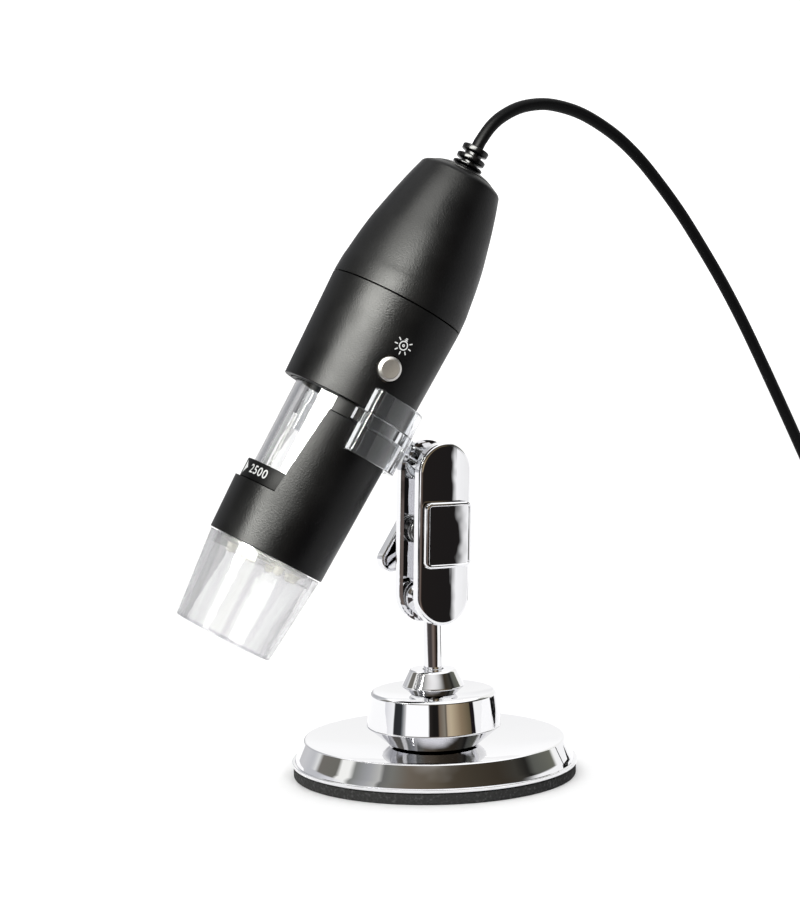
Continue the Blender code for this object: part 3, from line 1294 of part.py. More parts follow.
def build_cord():
    """Cord from the strain relief to its coil on the table, and on to the plug."""
    bpy.context.view_layer.update()
    to_world = TUBE_AXIS.matrix_world
    exit_point = to_world @ Vector((0, 0, relief_top() + SEAT_GAP))
    straight = to_world @ Vector((0, 0, relief_top() + SEAT_GAP + CORD_DIAMETER / 2))
    coil = coil_route()
    landing = coil[0] - Vector((SEAT_GAP, 0, 0))
    flat = landing - Vector((CORD_DIAMETER, 0, 0))
    lead = smooth_route([exit_point, straight, *CORD_ROUTE, flat, landing], CORD_POINT_STEP)
    tube("cord_lead", lead, CORD_DIAMETER, 2, RUBBER)
    tube("cord_coil", coil, CORD_DIAMETER, 1, RUBBER)
    print("cord coil, least gap to itself in mm:", least_gap(coil, CORD_DIAMETER, COIL_LOOP_POINTS // 3) / MM)
    start = coil[-1] + Vector((SEAT_GAP, 0, 0))
    end = Vector((start.x + CORD_TAIL_RUN, start.y, PLUG_GRIP_CENTRE_HEIGHT))
    run = Vector((CORD_DIAMETER, 0, 0))
    tail = smooth_route([start, start + run, (start + end) / 2, end - run, end], CORD_POINT_STEP / 2)
    tube("cord_tail", tail, CORD_DIAMETER, 2, RUBBER)
    print("cord length in mm:", (route_length(lead) + route_length(coil) + route_length(tail)) / MM)
    return end


def build_plug(cord_end):
    """Plug at the end of the cord: moulded grip, metal shell and its tongue."""
    boot_start = cord_end.x + SEAT_GAP
    grip_start = boot_start + PLUG_BOOT_LENGTH
    grip_end = grip_start + PLUG_GRIP_LENGTH
    y, z = cord_end.y, cord_end.z
    body = block_mesh(
        "usb_grip", (PLUG_GRIP_LENGTH, PLUG_GRIP_WIDTH, PLUG_GRIP_HEIGHT), ((grip_start + grip_end) / 2, y, z)
    )
    grip = add_part("usb_grip", body, RUBBER)
    add_bevel(grip, PLUG_GRIP_ROUNDING)
    boot = cylinder_mesh(
        "boot", PLUG_BOOT_RADII[0], (boot_start, y, z), (grip_start + OVERRUN, y, z), SMALL_STEPS, PLUG_BOOT_RADII[1]
    )
    combine(grip, "usb_boot", boot, "UNION")
    shell_start = grip_end - PLUG_SHELL_DEPTH
    shell_end = grip_end + PLUG_SHELL_REACH
    gap = 2 * SEAT_GAP
    pocket = block_mesh(
        "pocket", (PLUG_SHELL_DEPTH + SEAT_GAP + OVERRUN, PLUG_SHELL_WIDTH + gap, PLUG_SHELL_HEIGHT + gap),
        ((shell_start - SEAT_GAP + grip_end + OVERRUN) / 2, y, z),
    )
    combine(grip, "usb_pocket", pocket)
    middle = ((shell_start + shell_end) / 2, y, z)
    sheet = block_mesh("usb_shell", (shell_end - shell_start, PLUG_SHELL_WIDTH, PLUG_SHELL_HEIGHT), middle)
    shell = add_part("usb_shell", sheet, STEEL)
    wall = 2 * PLUG_SHELL_WALL
    inside = block_mesh(
        "inside", (shell_end - shell_start + OVERRUN, PLUG_SHELL_WIDTH - wall, PLUG_SHELL_HEIGHT - wall),
        (middle[0] + OVERRUN / 2 + PLUG_SHELL_WALL, y, z),
    )
    combine(shell, "usb_inside", inside)
    tongue_start = shell_start + PLUG_SHELL_WALL + SEAT_GAP
    tongue_end = shell_end - PLUG_TONGUE_SET_BACK
    tongue_width = PLUG_SHELL_WIDTH - wall - gap
    tongue_low = z - PLUG_SHELL_HEIGHT / 2 + PLUG_SHELL_WALL + SEAT_GAP
    tongue = block_mesh(
        "usb_tongue", (tongue_end - tongue_start, tongue_width, PLUG_TONGUE_HEIGHT),
        ((tongue_start + tongue_end) / 2, y, tongue_low + PLUG_TONGUE_HEIGHT / 2),
    )
    add_part("usb_tongue", tongue, LAMP)


build_foot_pad()
build_base_shell()
build_base_weight()
build_base_screw()
build_hub()
build_stem_collar()
build_ball_stem()
build_clamp_plate("clamp_front_plate", -1)
build_clamp_plate("clamp_back_plate", 1)
build_screw_cover()
build_clamp_screw()
build_clamp_washer()
build_wing_nut()
build_clamp_spring()
build_holder_ball()
build_holder_clip()
build_tail_shell()
build_front_shell()
build_tail_plug()
build_strain_relief()
build_holding_ring()
build_clear_tube()
build_hood()
build_lamp_board()
build_lamps()
build_focus_sleeve()
build_index_ring()
build_lens_carriage()
build_sensor()
build_lens()
build_sensor_ribbon()
build_main_board()
build_lamp_button()
build_plug(build_cord())
bpy.context.view_layer.update()
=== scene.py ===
"""Looks of a usb digital microscope in a clear clip, over two ball joints and a chromed round base.

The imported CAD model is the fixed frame. Every piece that shows is modelled again here in finer
form, or keeps its CAD mesh and gets its real material. Lengths are in metres and +Z is up.
"""
import logging
import math
from collections.abc import Callable, Iterator, Sequence
from contextlib import contextmanager
from dataclasses import dataclass, field
from enum import Enum

import bmesh
import bpy
from mathutils import Matrix, Vector


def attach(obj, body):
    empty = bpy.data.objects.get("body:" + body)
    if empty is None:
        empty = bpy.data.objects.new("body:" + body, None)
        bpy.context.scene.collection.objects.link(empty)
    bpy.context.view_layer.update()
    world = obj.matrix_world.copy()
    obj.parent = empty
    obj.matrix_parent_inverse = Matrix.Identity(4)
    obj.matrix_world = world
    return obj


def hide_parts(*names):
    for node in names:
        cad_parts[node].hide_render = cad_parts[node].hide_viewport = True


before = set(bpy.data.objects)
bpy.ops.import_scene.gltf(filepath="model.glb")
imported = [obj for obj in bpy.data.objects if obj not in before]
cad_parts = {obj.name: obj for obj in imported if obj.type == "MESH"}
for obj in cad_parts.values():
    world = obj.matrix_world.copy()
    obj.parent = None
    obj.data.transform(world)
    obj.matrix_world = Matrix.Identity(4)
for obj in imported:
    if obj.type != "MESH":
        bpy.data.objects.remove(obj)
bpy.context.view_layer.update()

LOG = logging.getLogger("microscope")
MM = 0.001
FULL_TURN = 2 * math.pi
QUARTER_TURN = math.pi / 2
MERGE_DISTANCE = 0.0005 * MM

Piece = bpy.types.Object
Tree = bpy.types.NodeTree
Node = bpy.types.Node
Socket = bpy.types.NodeSocket
Outline = Sequence[tuple[float, ...]]
Bands = Sequence[tuple[float, str]]
Colour = tuple[float, float, float, float]
Stops = Sequence[tuple[float, Colour]]


def linear(code: str) -> Colour:
    """Turn an sRGB hex colour into the linear colour that a shader takes.

    Args:
        code: a hash and six hex digits.

    Returns:
        Red, green and blue in linear light, and 1 for alpha.
    """
    shares = [int(code[i:i + 2], 16) / 255 for i in (1, 3, 5)]
    light = [share / 12.92 if share <= 0.04045 else ((share + 0.055) / 1.055) ** 2.4 for share in shares]
    return (light[0], light[1], light[2], 1.0)


@dataclass
class Bench:
    """The nodes of a material or of the world, while they are put together, and the coordinates of its patterns."""

    tree: Tree
    place: Socket | None = None

    def wire(self, node: Node, inputs: dict) -> None:
        """Set or link some sockets of a node.

        Args:
            node: the node.
            inputs: socket name or number to a value, to the socket that feeds it, or to the node that does, by its
                first output. A colour mix has its result on the third.
        """
        for name, value in inputs.items():
            if isinstance(value, Node):
                value = value.outputs[2 if value.bl_idname == "ShaderNodeMix" else 0]
            if isinstance(value, Socket):
                self.tree.links.new(value, node.inputs[name])
            else:
                node.inputs[name].default_value = value

    def finish(self, inputs: dict) -> None:
        """Set or link some sockets of the material's shader."""
        self.wire(self.tree.nodes["Principled BSDF"], inputs)

    def add(
        self, kind: str, inputs: dict | None = None, stops: Stops = (), size: float = 0.0, **settings: object,
    ) -> Node:
        """Add a node with its settings, values and links.

        Args:
            kind: the node's type name, after ShaderNode.
            inputs: as wire takes them.
            stops: (position, colour) of each stop, for a colour ramp.
            size: how many mm the features of a pattern are wide, for a texture.
            **settings: the node's own properties.

        Returns:
            The new node.
        """
        node = self.tree.nodes.new("ShaderNode" + kind)
        for name, value in settings.items():
            setattr(node, name, value)
        pattern = {"Vector": self.place, "Scale": 1 / (size * MM)} if size else {}
        self.wire(node, {**pattern, **(inputs or {})})
        if stops:
            elements = node.color_ramp.elements
            while len(elements) < len(stops):
                elements.new(0.5)
            for element, (position, colour) in zip(elements, stops):
                element.position = position
                element.color = colour
        return node


# ---------------------------------------------------------------- finishes


@dataclass(frozen=True)
class Finish:
    """A real material and how its surface was made."""

    name: str
    slot: str
    colour: str
    roughness: float

    def dress(self, bench: Bench) -> None:
        """Give the shader what this material shows. Each finish has its own.

        Args:
            bench: the material's nodes.
        """

    def material(self) -> bpy.types.Material:
        """Make the material when it is first asked for, and find it again later.

        Returns:
            The material.
        """
        made = bpy.data.materials.get(self.name)
        if made is None:
            made = bpy.data.materials.new(self.name)
            made.use_nodes = True
            bench = Bench(made.node_tree)
            bench.finish({"Base Color": linear(self.colour), "Roughness": self.roughness})
            bench.place = bench.add("TexCoord").outputs["Object"]
            self.dress(bench)
        return made


@dataclass(frozen=True)
class ChromePlate(Finish):
    """Bright chrome over a buffed zinc casting: a mirror whose reflections waver where the buffing was uneven."""

    wave: float = 5.0
    wave_height: float = 0.020
    peel: float = 1.6
    peel_height: float = 0.0006
    patch: float = 5.0
    patch_haze: float = 0.012

    def dress(self, bench: Bench) -> None:
        """Long waves from buffing, faint orange peel, and a little haze in patches.

        Args:
            bench: the material's nodes.
        """
        waves = bench.add("TexNoise", {"Detail": 1.0}, size=self.wave)
        peel = bench.add("TexNoise", {"Detail": 0.0}, size=self.peel)
        slow = bench.add("Bump", {"Height": waves, "Distance": self.wave_height * MM})
        fine = bench.add("Bump", {"Height": peel, "Distance": self.peel_height * MM, "Normal": slow})
        haze = bench.add("TexNoise", {"Detail": 3.0}, size=self.patch)
        spread = bench.add("MapRange", {
            "Value": haze, "From Min": 0.35, "From Max": 0.75,
            "To Min": self.roughness, "To Max": self.roughness + self.patch_haze,
        })
        bench.finish({"Metallic": 1.0, "Roughness": spread, "Normal": fine})


@dataclass(frozen=True)
class MouldedPlastic(Finish):
    """ABS or PVC from a mould that spark erosion gave a fine grain: satin, with a soft broad highlight."""

    grain: float = 0.34
    grain_height: float = 0.012
    patch: float = 11.0
    spread: float = 0.06
    sheen: float = 0.16
    edge_sheen: float = 0.3
    paler: float = 1.35

    def dress(self, bench: Bench) -> None:
        """Grain coarser than the real 0.1 mm, so that it shows, slow changes of gloss from handling, and duller edges.

        Args:
            bench: the material's nodes.
        """
        grain = bench.add("TexNoise", {"Detail": 2.0, "Roughness": 0.6}, size=self.grain)
        bump = bench.add("Bump", {"Height": grain, "Distance": self.grain_height * MM})
        handled = bench.add("TexNoise", {"Detail": 2.0}, size=self.patch)
        gloss = bench.add("MapRange", {
            "Value": handled, "From Min": 0.3, "From Max": 0.7,
            "To Min": self.roughness - self.spread, "To Max": self.roughness + self.spread,
        })
        dark = linear(self.colour)
        pale = tuple(min(1.0, share * self.paler + 0.0006) for share in dark[:3]) + (1.0,)
        tone = bench.add("Mix", {"Factor": grain, "A": dark, "B": pale}, data_type="RGBA")
        facing = bench.add("LayerWeight", {"Blend": 0.5}).outputs["Facing"]
        shaded = bench.add("MapRange", {
            "Value": facing, "From Min": 0.5, "From Max": 1.0,
            "To Min": self.sheen, "To Max": self.sheen * self.edge_sheen,
        })
        bench.finish({"Base Color": tone, "Roughness": gloss, "Normal": bump, "Specular IOR Level": shaded})


@dataclass(frozen=True)
class ClearAcrylic(Finish):
    """Water clear moulded plastic: bends what is behind it, with faint flow lines from the mould, and where given grey
    streaks of painted reflection.
    """

    flow: float = 5.0
    flow_height: float = 0.012
    ior: float = 1.49
    haze: float = 0.0
    reflection_streaks: Bands = ()
    rim: float = 0.0
    rim_tone: str = "#C4C4C9"

    def paint_reflection_streaks(self, bench: Bench) -> Node:
        """Painted reflections as grey streaks along the tube, by the angle round it, and a rim painted greyer.

        Args:
            bench: the material's nodes.

        Returns:
            The node that gives their colour.
        """
        home = FRAMES.tube().inverted()
        along = bench.add("Mapping", {"Vector": bench.place, "Location": home.translation, "Rotation": home.to_euler()})
        axes = bench.add("SeparateXYZ", {"Vector": along}).outputs
        back = bench.add("Math", {0: axes["X"], 1: -1.0}, operation="MULTIPLY")
        turn = bench.add("Math", {0: axes["Y"], 1: back}, operation="ARCTAN2")
        share = bench.add("MapRange", {"Value": turn, "From Min": -math.pi, "From Max": math.pi})
        # The streak colours are painted reflections, fixed to the angle round the tube.
        stops = [(degrees / 360, linear(code)) for degrees, code in self.reflection_streaks]
        tones = bench.add("ValToRGB", {"Fac": share}, stops)
        if not self.rim:
            return tones
        above = bench.add("MapRange", {
            "Value": axes["Z"], "From Min": -(self.rim + 0.1) * MM, "From Max": -(self.rim - 0.9) * MM,
        })
        return bench.add("Mix", {"Factor": above, "A": linear(self.rim_tone), "B": tones}, data_type="RGBA")

    def dress(self, bench: Bench) -> None:
        """Clear but for its haze, with slow waves in the surface, and its painted reflection streaks where it has them.

        Args:
            bench: the material's nodes.
        """
        if self.reflection_streaks:
            bench.finish({"Base Color": self.paint_reflection_streaks(bench)})
        flow = bench.add("TexNoise", {"Detail": 1.0}, size=self.flow)
        bump = bench.add("Bump", {"Height": flow, "Distance": self.flow_height * MM})
        bench.finish({"Transmission Weight": 1.0 - self.haze, "IOR": self.ior, "Normal": bump})


@dataclass(frozen=True)
class FoamRubber(Finish):
    """Closed cell sponge rubber, sawn to a disc: dark, dull and grainy, with open cells along its cut edge."""

    cell: float = 0.7
    fuzz: float = 0.45
    cell_depth: float = 0.25
    pore_shade: str = "#070708"
    lit_cell_wall: str = "#3C3C3D"

    def dress(self, bench: Bench) -> None:
        """Sunk pores with painted shade in them, among cell walls painted paler as painted light.

        Args:
            bench: the material's nodes.
        """
        cells = bench.add("TexVoronoi", size=self.cell)
        fuzz = bench.add("TexNoise", {"Detail": 3.0}, size=self.fuzz)
        depth = bench.add("Math", {0: cells, 1: fuzz}, operation="MULTIPLY")
        # The ramp paints shade into the sunk pores and light onto the raised cell walls.
        stops = ((0.05, linear(self.pore_shade)), (0.32, linear(self.colour)), (0.6, linear(self.lit_cell_wall)))
        tone = bench.add("ValToRGB", {"Fac": depth}, stops)
        bump = bench.add("Bump", {"Height": depth, "Distance": self.cell_depth * MM})
        bench.finish({"Base Color": tone, "Normal": bump, "Specular IOR Level": 0.2})


@dataclass(frozen=True)
class TurnedSteel(Finish):
    """Steel off the lathe or from the cutter, zinc plated: grey metal with fine rings and a dull sheen."""

    ring: float = 0.35
    ring_height: float = 0.006
    cloud: float = 2.2
    bright: str = "#D9D9D6"

    def dress(self, bench: Bench) -> None:
        """Tool marks round the piece and cloudy plating.

        Args:
            bench: the material's nodes.
        """
        clouds = bench.add("TexNoise", {"Detail": 4.0}, size=self.cloud)
        marks = bench.add("TexNoise", {"Detail": 1.0}, size=self.ring)
        tones = {"Factor": clouds, "A": linear(self.colour), "B": linear(self.bright)}
        tone = bench.add("Mix", tones, data_type="RGBA")
        bump = bench.add("Bump", {"Height": marks, "Distance": self.ring_height * MM})
        bench.finish({"Metallic": 1.0, "Base Color": tone, "Normal": bump})


@dataclass(frozen=True)
class SilverLacquer(Finish):
    """Moulded button sprayed with silver lacquer: fine flakes glint in a satin coat."""

    flake: float = 0.16
    flake_height: float = 0.01
    glint: str = "#C9C7C4"

    def dress(self, bench: Bench) -> None:
        """Flakes of slightly different tone and tilt under a clear coat.

        Args:
            bench: the material's nodes.
        """
        flakes = bench.add("TexVoronoi", size=self.flake)
        tones = {"Factor": flakes, "A": linear(self.colour), "B": linear(self.glint)}
        tone = bench.add("Mix", tones, data_type="RGBA")
        bump = bench.add("Bump", {"Height": flakes, "Distance": self.flake_height * MM})
        bench.finish({
            "Metallic": 1.0, "Coat Weight": 0.4, "Coat Roughness": 0.25, "Base Color": tone, "Normal": bump,
        })


class Mask(Enum):
    """Colour of a circuit board's solder mask: its ground, and paler over the copper."""

    GREEN = ("#14502A", "#1F6B3C")
    WHITE = ("#E4E4DF", "#F2F2EE")


@dataclass(frozen=True)
class CircuitBoard(Finish):
    """Glass epoxy board under a glossy solder mask: copper tracks show as slightly raised paler lines."""

    mask: Mask = Mask.GREEN
    track: float = 1.3
    copper: float = 0.03

    def dress(self, bench: Bench) -> None:
        """Tracks in two tones of the mask, raised by the copper under them.

        Args:
            bench: the material's nodes.
        """
        ground, raised = (linear(code) for code in self.mask.value)
        brick = {"Color1": ground, "Color2": ground, "Mortar": raised, "Mortar Size": 0.06}
        tracks = bench.add("TexBrick", brick, size=self.track * 2)
        bump = bench.add("Bump", {"Height": tracks.outputs["Fac"], "Distance": self.copper * MM})
        bench.finish({"Base Color": tracks, "Normal": bump})


@dataclass(frozen=True)
class CoatedGlass(Finish):
    """Ground and polished lens with a thin coating, which tints its reflections blue and magenta."""

    edge_tint: str = "#C9B8FF"

    def dress(self, bench: Bench) -> None:
        """Clear glass whose tint turns towards its edge.

        Args:
            bench: the material's nodes.
        """
        facing = bench.add("LayerWeight", {"Blend": 0.4}).outputs["Facing"]
        tones = {"Factor": facing, "A": linear(self.colour), "B": linear(self.edge_tint)}
        tone = bench.add("Mix", tones, data_type="RGBA")
        bench.finish({"Transmission Weight": 1.0, "IOR": 1.52, "Base Color": tone})


@dataclass(frozen=True)
class Layered(Finish):
    """Small moulded, printed or filled material with two tones in a fine mottle: nylon, epoxy, film, ink or paper."""

    second: str = "#FFFFFF"
    mottle: float = 0.5
    metallic: float = 0.0
    relief: float = 0.004
    sheen: float = 0.5
    clear: float = 0.0
    ior: float = 1.5

    def dress(self, bench: Bench) -> None:
        """Two tones and a slight relief.

        Args:
            bench: the material's nodes.
        """
        mottle = bench.add("TexNoise", {"Detail": 2.0}, size=self.mottle)
        tones = {"Factor": mottle, "A": linear(self.colour), "B": linear(self.second)}
        tone = bench.add("Mix", tones, data_type="RGBA")
        bench.finish({
            "Metallic": self.metallic, "Base Color": tone, "Specular IOR Level": self.sheen,
            "Transmission Weight": self.clear, "IOR": self.ior,
        })
        if self.relief:
            bench.finish({"Normal": bench.add("Bump", {"Height": mottle, "Distance": self.relief * MM})})


# A mirror, a little cool, in which every gap of the tent shows as a dark band.
CHROME = ChromePlate("chrome_plated_zinc", "chrome", "#E8E8EA", 0.003)
# Plated steel is dull and grey, drawn wire darker and tighter, tinned sheet bright.
STEEL = TurnedSteel("zinc_plated_steel", "steel", "#A9A9A8", 0.32)
SPRING_STEEL = TurnedSteel("drawn_spring_steel", "steel", "#8E8E90", 0.24)
TIN_SHEET = TurnedSteel("tinned_sheet_steel", "steel", "#B9B9B8", 0.22)
# Nearly black, with a broad soft highlight in which the grain sparkles.
BODY_ABS = MouldedPlastic(
    "spark_eroded_black_abs", "black_plastic", "#040405", 0.36, grain=0.36, grain_height=0.045, sheen=0.13,
)
# The index ring comes from a smoother mould and hardly shines.
RING_ABS = MouldedPlastic("moulded_black_abs", "black_plastic", "#040405", 0.42, sheen=0.06, edge_sheen=0.4)
# Where a cutter opened the window the plastic is rough; its darker black with no sheen is painted shade, which draws
# dark lines along the window's cut and under the index ring.
SHADE_LINE_ABS = MouldedPlastic(
    "shade_line_black_abs", "black_plastic", "#020203", 0.75, grain=0.3, sheen=0.0, edge_sheen=0.0,
)
# Nylon is greyer than the housing, with an open grain.
INNER_ABS = MouldedPlastic("moulded_black_nylon", "soft_plastic", "#0B0B0C", 0.5, grain=0.5)
# Soft PVC shines in small hard lights on plug and strain relief, and is duller where it was extruded as cord.
PVC = MouldedPlastic("moulded_black_pvc", "soft_plastic", "#050506", 0.24, grain=0.4, grain_height=0.004, sheen=0.22)
CORD_PVC = MouldedPlastic(
    "extruded_black_pvc", "soft_plastic", "#050506", 0.38, grain=0.9, grain_height=0.001, spread=0.03, sheen=0.06,
    edge_sheen=0.0,
)
# Acrylic is water clear. The clip has a breath of haze, and an index below 1.49, which takes a grey veil off it.
ACRYLIC = ClearAcrylic("clear_moulded_acrylic", "clear_plastic", "#FBFDFD", 0.0)
CLIP_ACRYLIC = ClearAcrylic("cloudy_moulded_clip", "clear_plastic", "#F4F6F8", 0.0, ior=1.36, haze=0.004)
# Slot sides are milled, so they are frosted white.
CUT_ACRYLIC = ClearAcrylic("milled_acrylic_edge", "clear_plastic", "#F1F2F3", 0.5, haze=0.85)
# Grey streaks along tube and hood, by degrees round them, are painted reflections.
TUBE_ACRYLIC = ClearAcrylic("clear_moulded_tube", "clear_plastic", "#FBFDFD", 0.0, reflection_streaks=(
    (0, "#FFFFFF"), (162, "#FFFFFF"), (164, "#CECECF"), (168, "#C2C2C4"), (170.5, "#B4B4B6"), (171.5, "#FFFFFF"),
    (179, "#FFFFFF"), (182, "#AAAAAC"), (187, "#ACACAE"), (190, "#BEBEC0"), (193, "#F4F4F4"), (203, "#F4F4F4"),
    (206, "#B8B8BB"), (210, "#BABABD"), (213, "#F6F6F6"),
))
HOOD_ACRYLIC = ClearAcrylic(
    "clear_moulded_hood", "clear_plastic", "#FCFDFE", 0.0, flow=3.0, flow_height=0.03, haze=0.08, rim=88.0, reflection_streaks=(
        (0, "#EAEAEB"), (44, "#EAEAEB"), (48, "#EEEEEF"), (56, "#EEEEEF"), (60, "#E9E9EA"), (68, "#EBEBEC"),
        (96, "#EDEDEE"), (99, "#F6F6F6"), (107, "#F6F6F6"), (110, "#EBEBEC"), (121, "#EBEBEC"), (125, "#F3F3F3"),
        (146, "#F6F6F6"), (149, "#E9E9EA"), (155, "#E6E6E7"), (160, "#EBEBEC"), (170, "#EBEBEC"), (173, "#E3E3E4"),
        (184, "#E2E2E3"), (204, "#E5E5E6"), (224, "#E3E3E4"), (232, "#EAEAEB"),
    ),
)
# Charcoal with open pores along the sawn edge; the pores' darkness is painted shade, and the paler cell walls painted
# light.
FOAM = FoamRubber("sawn_sponge_rubber", "foam", "#161617", 0.95)
# Lacquer with fine flakes: a satin silver that glints.
SILVER = SilverLacquer("silver_lacquered_button", "silver_button", "#A19F9C", 0.34)
# Solder mask is glossy and coloured, over raised tracks.
BOARD = CircuitBoard("green_circuit_board", "circuit_board", "#14502A", 0.3)
LAMP_BOARD = CircuitBoard("white_circuit_board", "circuit_board", "#E4E4DF", 0.35, mask=Mask.WHITE)
# Filled epoxy is a matt grey black, and nylon a warm white.
CHIP = Layered("filled_black_epoxy", "chip", "#141416", 0.5, second="#222225", mottle=0.3)
NYLON = Layered("white_moulded_nylon", "white_plastic", "#E6E4DC", 0.4, second="#F1F0EA")
# A lamp's dome is half clear and cream from the phosphor in it, and the lens has bluish glints.
LED = Layered(
    "led_epoxy", "white_plastic", "#FAF8EC", 0.05, second="#FFFDF2", mottle=1.1, relief=0.0, clear=0.3, ior=1.53,
)
GLASS = CoatedGlass("coated_lens_glass", "lens_glass", "#E3F0FF", 0.0)
# Seamless paper: matt, with the faintest tooth.
PAPER = Layered("white_seamless_paper", "paper", "#EFEFEF", 0.9, second="#F2F2F2", mottle=1.0, relief=0.0, sheen=0.1)
# Film is pale and slightly cloudy, ink a thin matt white, and the plated contacts are warm bright gold.
FILM = Layered("white_polyester_film", "ribbon", "#D2D3D3", 0.3, second="#DCDDDC", mottle=1.2)
INK = Layered("pad_printed_white_ink", "white_plastic", "#D7D8D6", 0.55, second="#C3C4C2", mottle=0.4, relief=0.002)
GOLD = Layered("gold_plated_contact", "steel", "#D9A441", 0.25, second="#E8BC62", mottle=0.6, metallic=1.0)


# ---------------------------------------------------------------- modelling by hand


def select_only(thing: Piece) -> None:
    """Make one object the selected and active one.

    Args:
        thing: the object.
    """
    bpy.ops.object.select_all(action="DESELECT")
    thing.select_set(True)
    bpy.context.view_layer.objects.active = thing


def named(name: str) -> Piece:
    """Name the active object, and its mesh.

    Args:
        name: the piece's name.

    Returns:
        The piece.
    """
    thing = bpy.context.object
    thing.name = thing.data.name = name
    return thing


def primitive(name: str, add: Callable, stretch: Sequence[float] | None = None, **settings: object) -> Piece:
    """Add a primitive, with its place in its mesh.

    Args:
        name: the piece's name.
        add: the operator that makes it.
        stretch: how far it is then drawn out along its own axes.
        **settings: the operator's own.

    Returns:
        The piece.
    """
    bpy.ops.object.select_all(action="DESELECT")
    add(**settings)
    thing = named(name)
    if stretch:
        thing.scale = stretch
    bpy.ops.object.transform_apply(location=True, rotation=True, scale=True)
    return thing


def worked(thing: Piece, kind: str, **settings: object) -> Piece:
    """Run one modifier over a piece and apply it.

    Args:
        thing: the piece.
        kind: the modifier's type.
        **settings: its own properties.

    Returns:
        The same piece.
    """
    step = thing.modifiers.new(kind.lower(), kind)
    for name, value in settings.items():
        setattr(step, name, value)
    select_only(thing)
    bpy.ops.object.modifier_apply(modifier=step.name)
    return thing


@contextmanager
def editing(thing: Piece) -> Iterator[None]:
    """Open a piece in edit mode, for points, with nothing selected.

    Args:
        thing: the mesh object.

    Returns:
        Nothing; the piece is closed again at the end.
    """
    select_only(thing)
    bpy.ops.object.mode_set(mode="EDIT")
    bpy.ops.mesh.select_mode(type="VERT")
    bpy.ops.mesh.select_all(action="DESELECT")
    yield
    bpy.ops.object.mode_set(mode="OBJECT")


def pick(thing: Piece, kind: str, test: Callable) -> None:
    """Select the points, edges or faces of the piece in edit mode that pass a test, and nothing else.

    Args:
        thing: the piece that is being edited.
        kind: VERT, EDGE or FACE.
        test: says whether one of them is wanted.
    """
    bpy.ops.mesh.select_mode(type=kind)
    bpy.ops.mesh.select_all(action="DESELECT")
    shape = bmesh.from_edit_mesh(thing.data)
    for part in {"VERT": shape.verts, "EDGE": shape.edges, "FACE": shape.faces}[kind]:
        part.select_set(bool(test(part)))
    bmesh.update_edit_mesh(thing.data)


def pick_points(thing: Piece, test: Callable[[Vector], bool]) -> None:
    """Select points by place."""
    pick(thing, "VERT", lambda point: test(point.co))


def pick_edges(thing: Piece, test: Callable[[Vector], bool]) -> None:
    """Select edges whose both ends pass."""
    pick(thing, "EDGE", lambda edge: all(test(point.co) for point in edge.verts))


def pick_faces(thing: Piece, test: Callable[[Vector, Vector], bool]) -> None:
    """Select faces by middle and normal."""
    pick(thing, "FACE", lambda face: test(face.calc_center_median(), face.normal))


def pick_all(kind: str = "VERT") -> None:
    """Select the whole piece in edit mode, as points, edges or faces."""
    bpy.ops.mesh.select_mode(type=kind)
    bpy.ops.mesh.select_all(action="SELECT")


def extrude(height: float) -> None:
    """Extrude what is selected along Z, by some mm."""
    bpy.ops.mesh.extrude_region_move(TRANSFORM_OT_translate={"value": (0, 0, height * MM)})


def tidy(thing: Piece) -> None:
    """Merge doubled points and turn every face outwards.

    Args:
        thing: the piece.
    """
    with editing(thing):
        pick_all()
        bpy.ops.mesh.remove_doubles(threshold=MERGE_DISTANCE)
        bpy.ops.mesh.normals_make_consistent(inside=False)


def shade(thing: Piece, angle: float = 30, flat: bool = False) -> Piece:
    """Shade a piece smooth up to an angle.

    Args:
        thing: the piece.
        angle: edges sharper than this many degrees stay sharp.
        flat: keep large faces flat, so that a mirror finish shows them flat.

    Returns:
        The same piece.
    """
    select_only(thing)
    bpy.ops.object.shade_smooth_by_angle(angle=math.radians(angle))
    if flat:
        worked(thing, "WEIGHTED_NORMAL", keep_sharp=True)
    return thing


def soften(thing: Piece, width: float, angle: float = 50) -> Piece:
    """Break the sharp edges of a piece, so that they catch the light.

    Args:
        thing: the piece.
        width: of the broken edge, in mm.
        angle: only edges sharper than this many degrees are broken.

    Returns:
        The same piece.
    """
    return worked(thing, "BEVEL", width=width * MM, segments=2, limit_method="ANGLE", angle_limit=math.radians(angle))


def settle(thing: Piece, place: Matrix) -> Piece:
    """Put a piece in its place, and the place into its mesh.

    Args:
        thing: the piece.
        place: its frame in the model.

    Returns:
        The same piece.
    """
    select_only(thing)
    thing.matrix_world = place
    bpy.context.view_layer.update()
    bpy.ops.object.transform_apply(location=True, rotation=True, scale=True)
    return thing


def combine(target: Piece, tool: Piece, operation: str = "DIFFERENCE") -> Piece:
    """Cut a tool out of a piece, or join it on, and throw the tool away.

    Args:
        target: the piece.
        tool: the solid to cut or join.
        operation: DIFFERENCE, UNION or INTERSECT.

    Returns:
        The piece.
    """
    worked(target, "BOOLEAN", operation=operation, solver="EXACT", object=tool)
    bpy.data.objects.remove(tool, do_unlink=True)
    return target


def copied(thing: Piece, name: str, place: Matrix) -> Piece:
    """Copy a piece, with its own mesh.

    Args:
        thing: the piece.
        name: the copy's name.
        place: what the copy is moved by.

    Returns:
        The copy.
    """
    twin = thing.copy()
    twin.data = thing.data.copy()
    twin.name = twin.data.name = name
    bpy.context.scene.collection.objects.link(twin)
    return settle(twin, place)


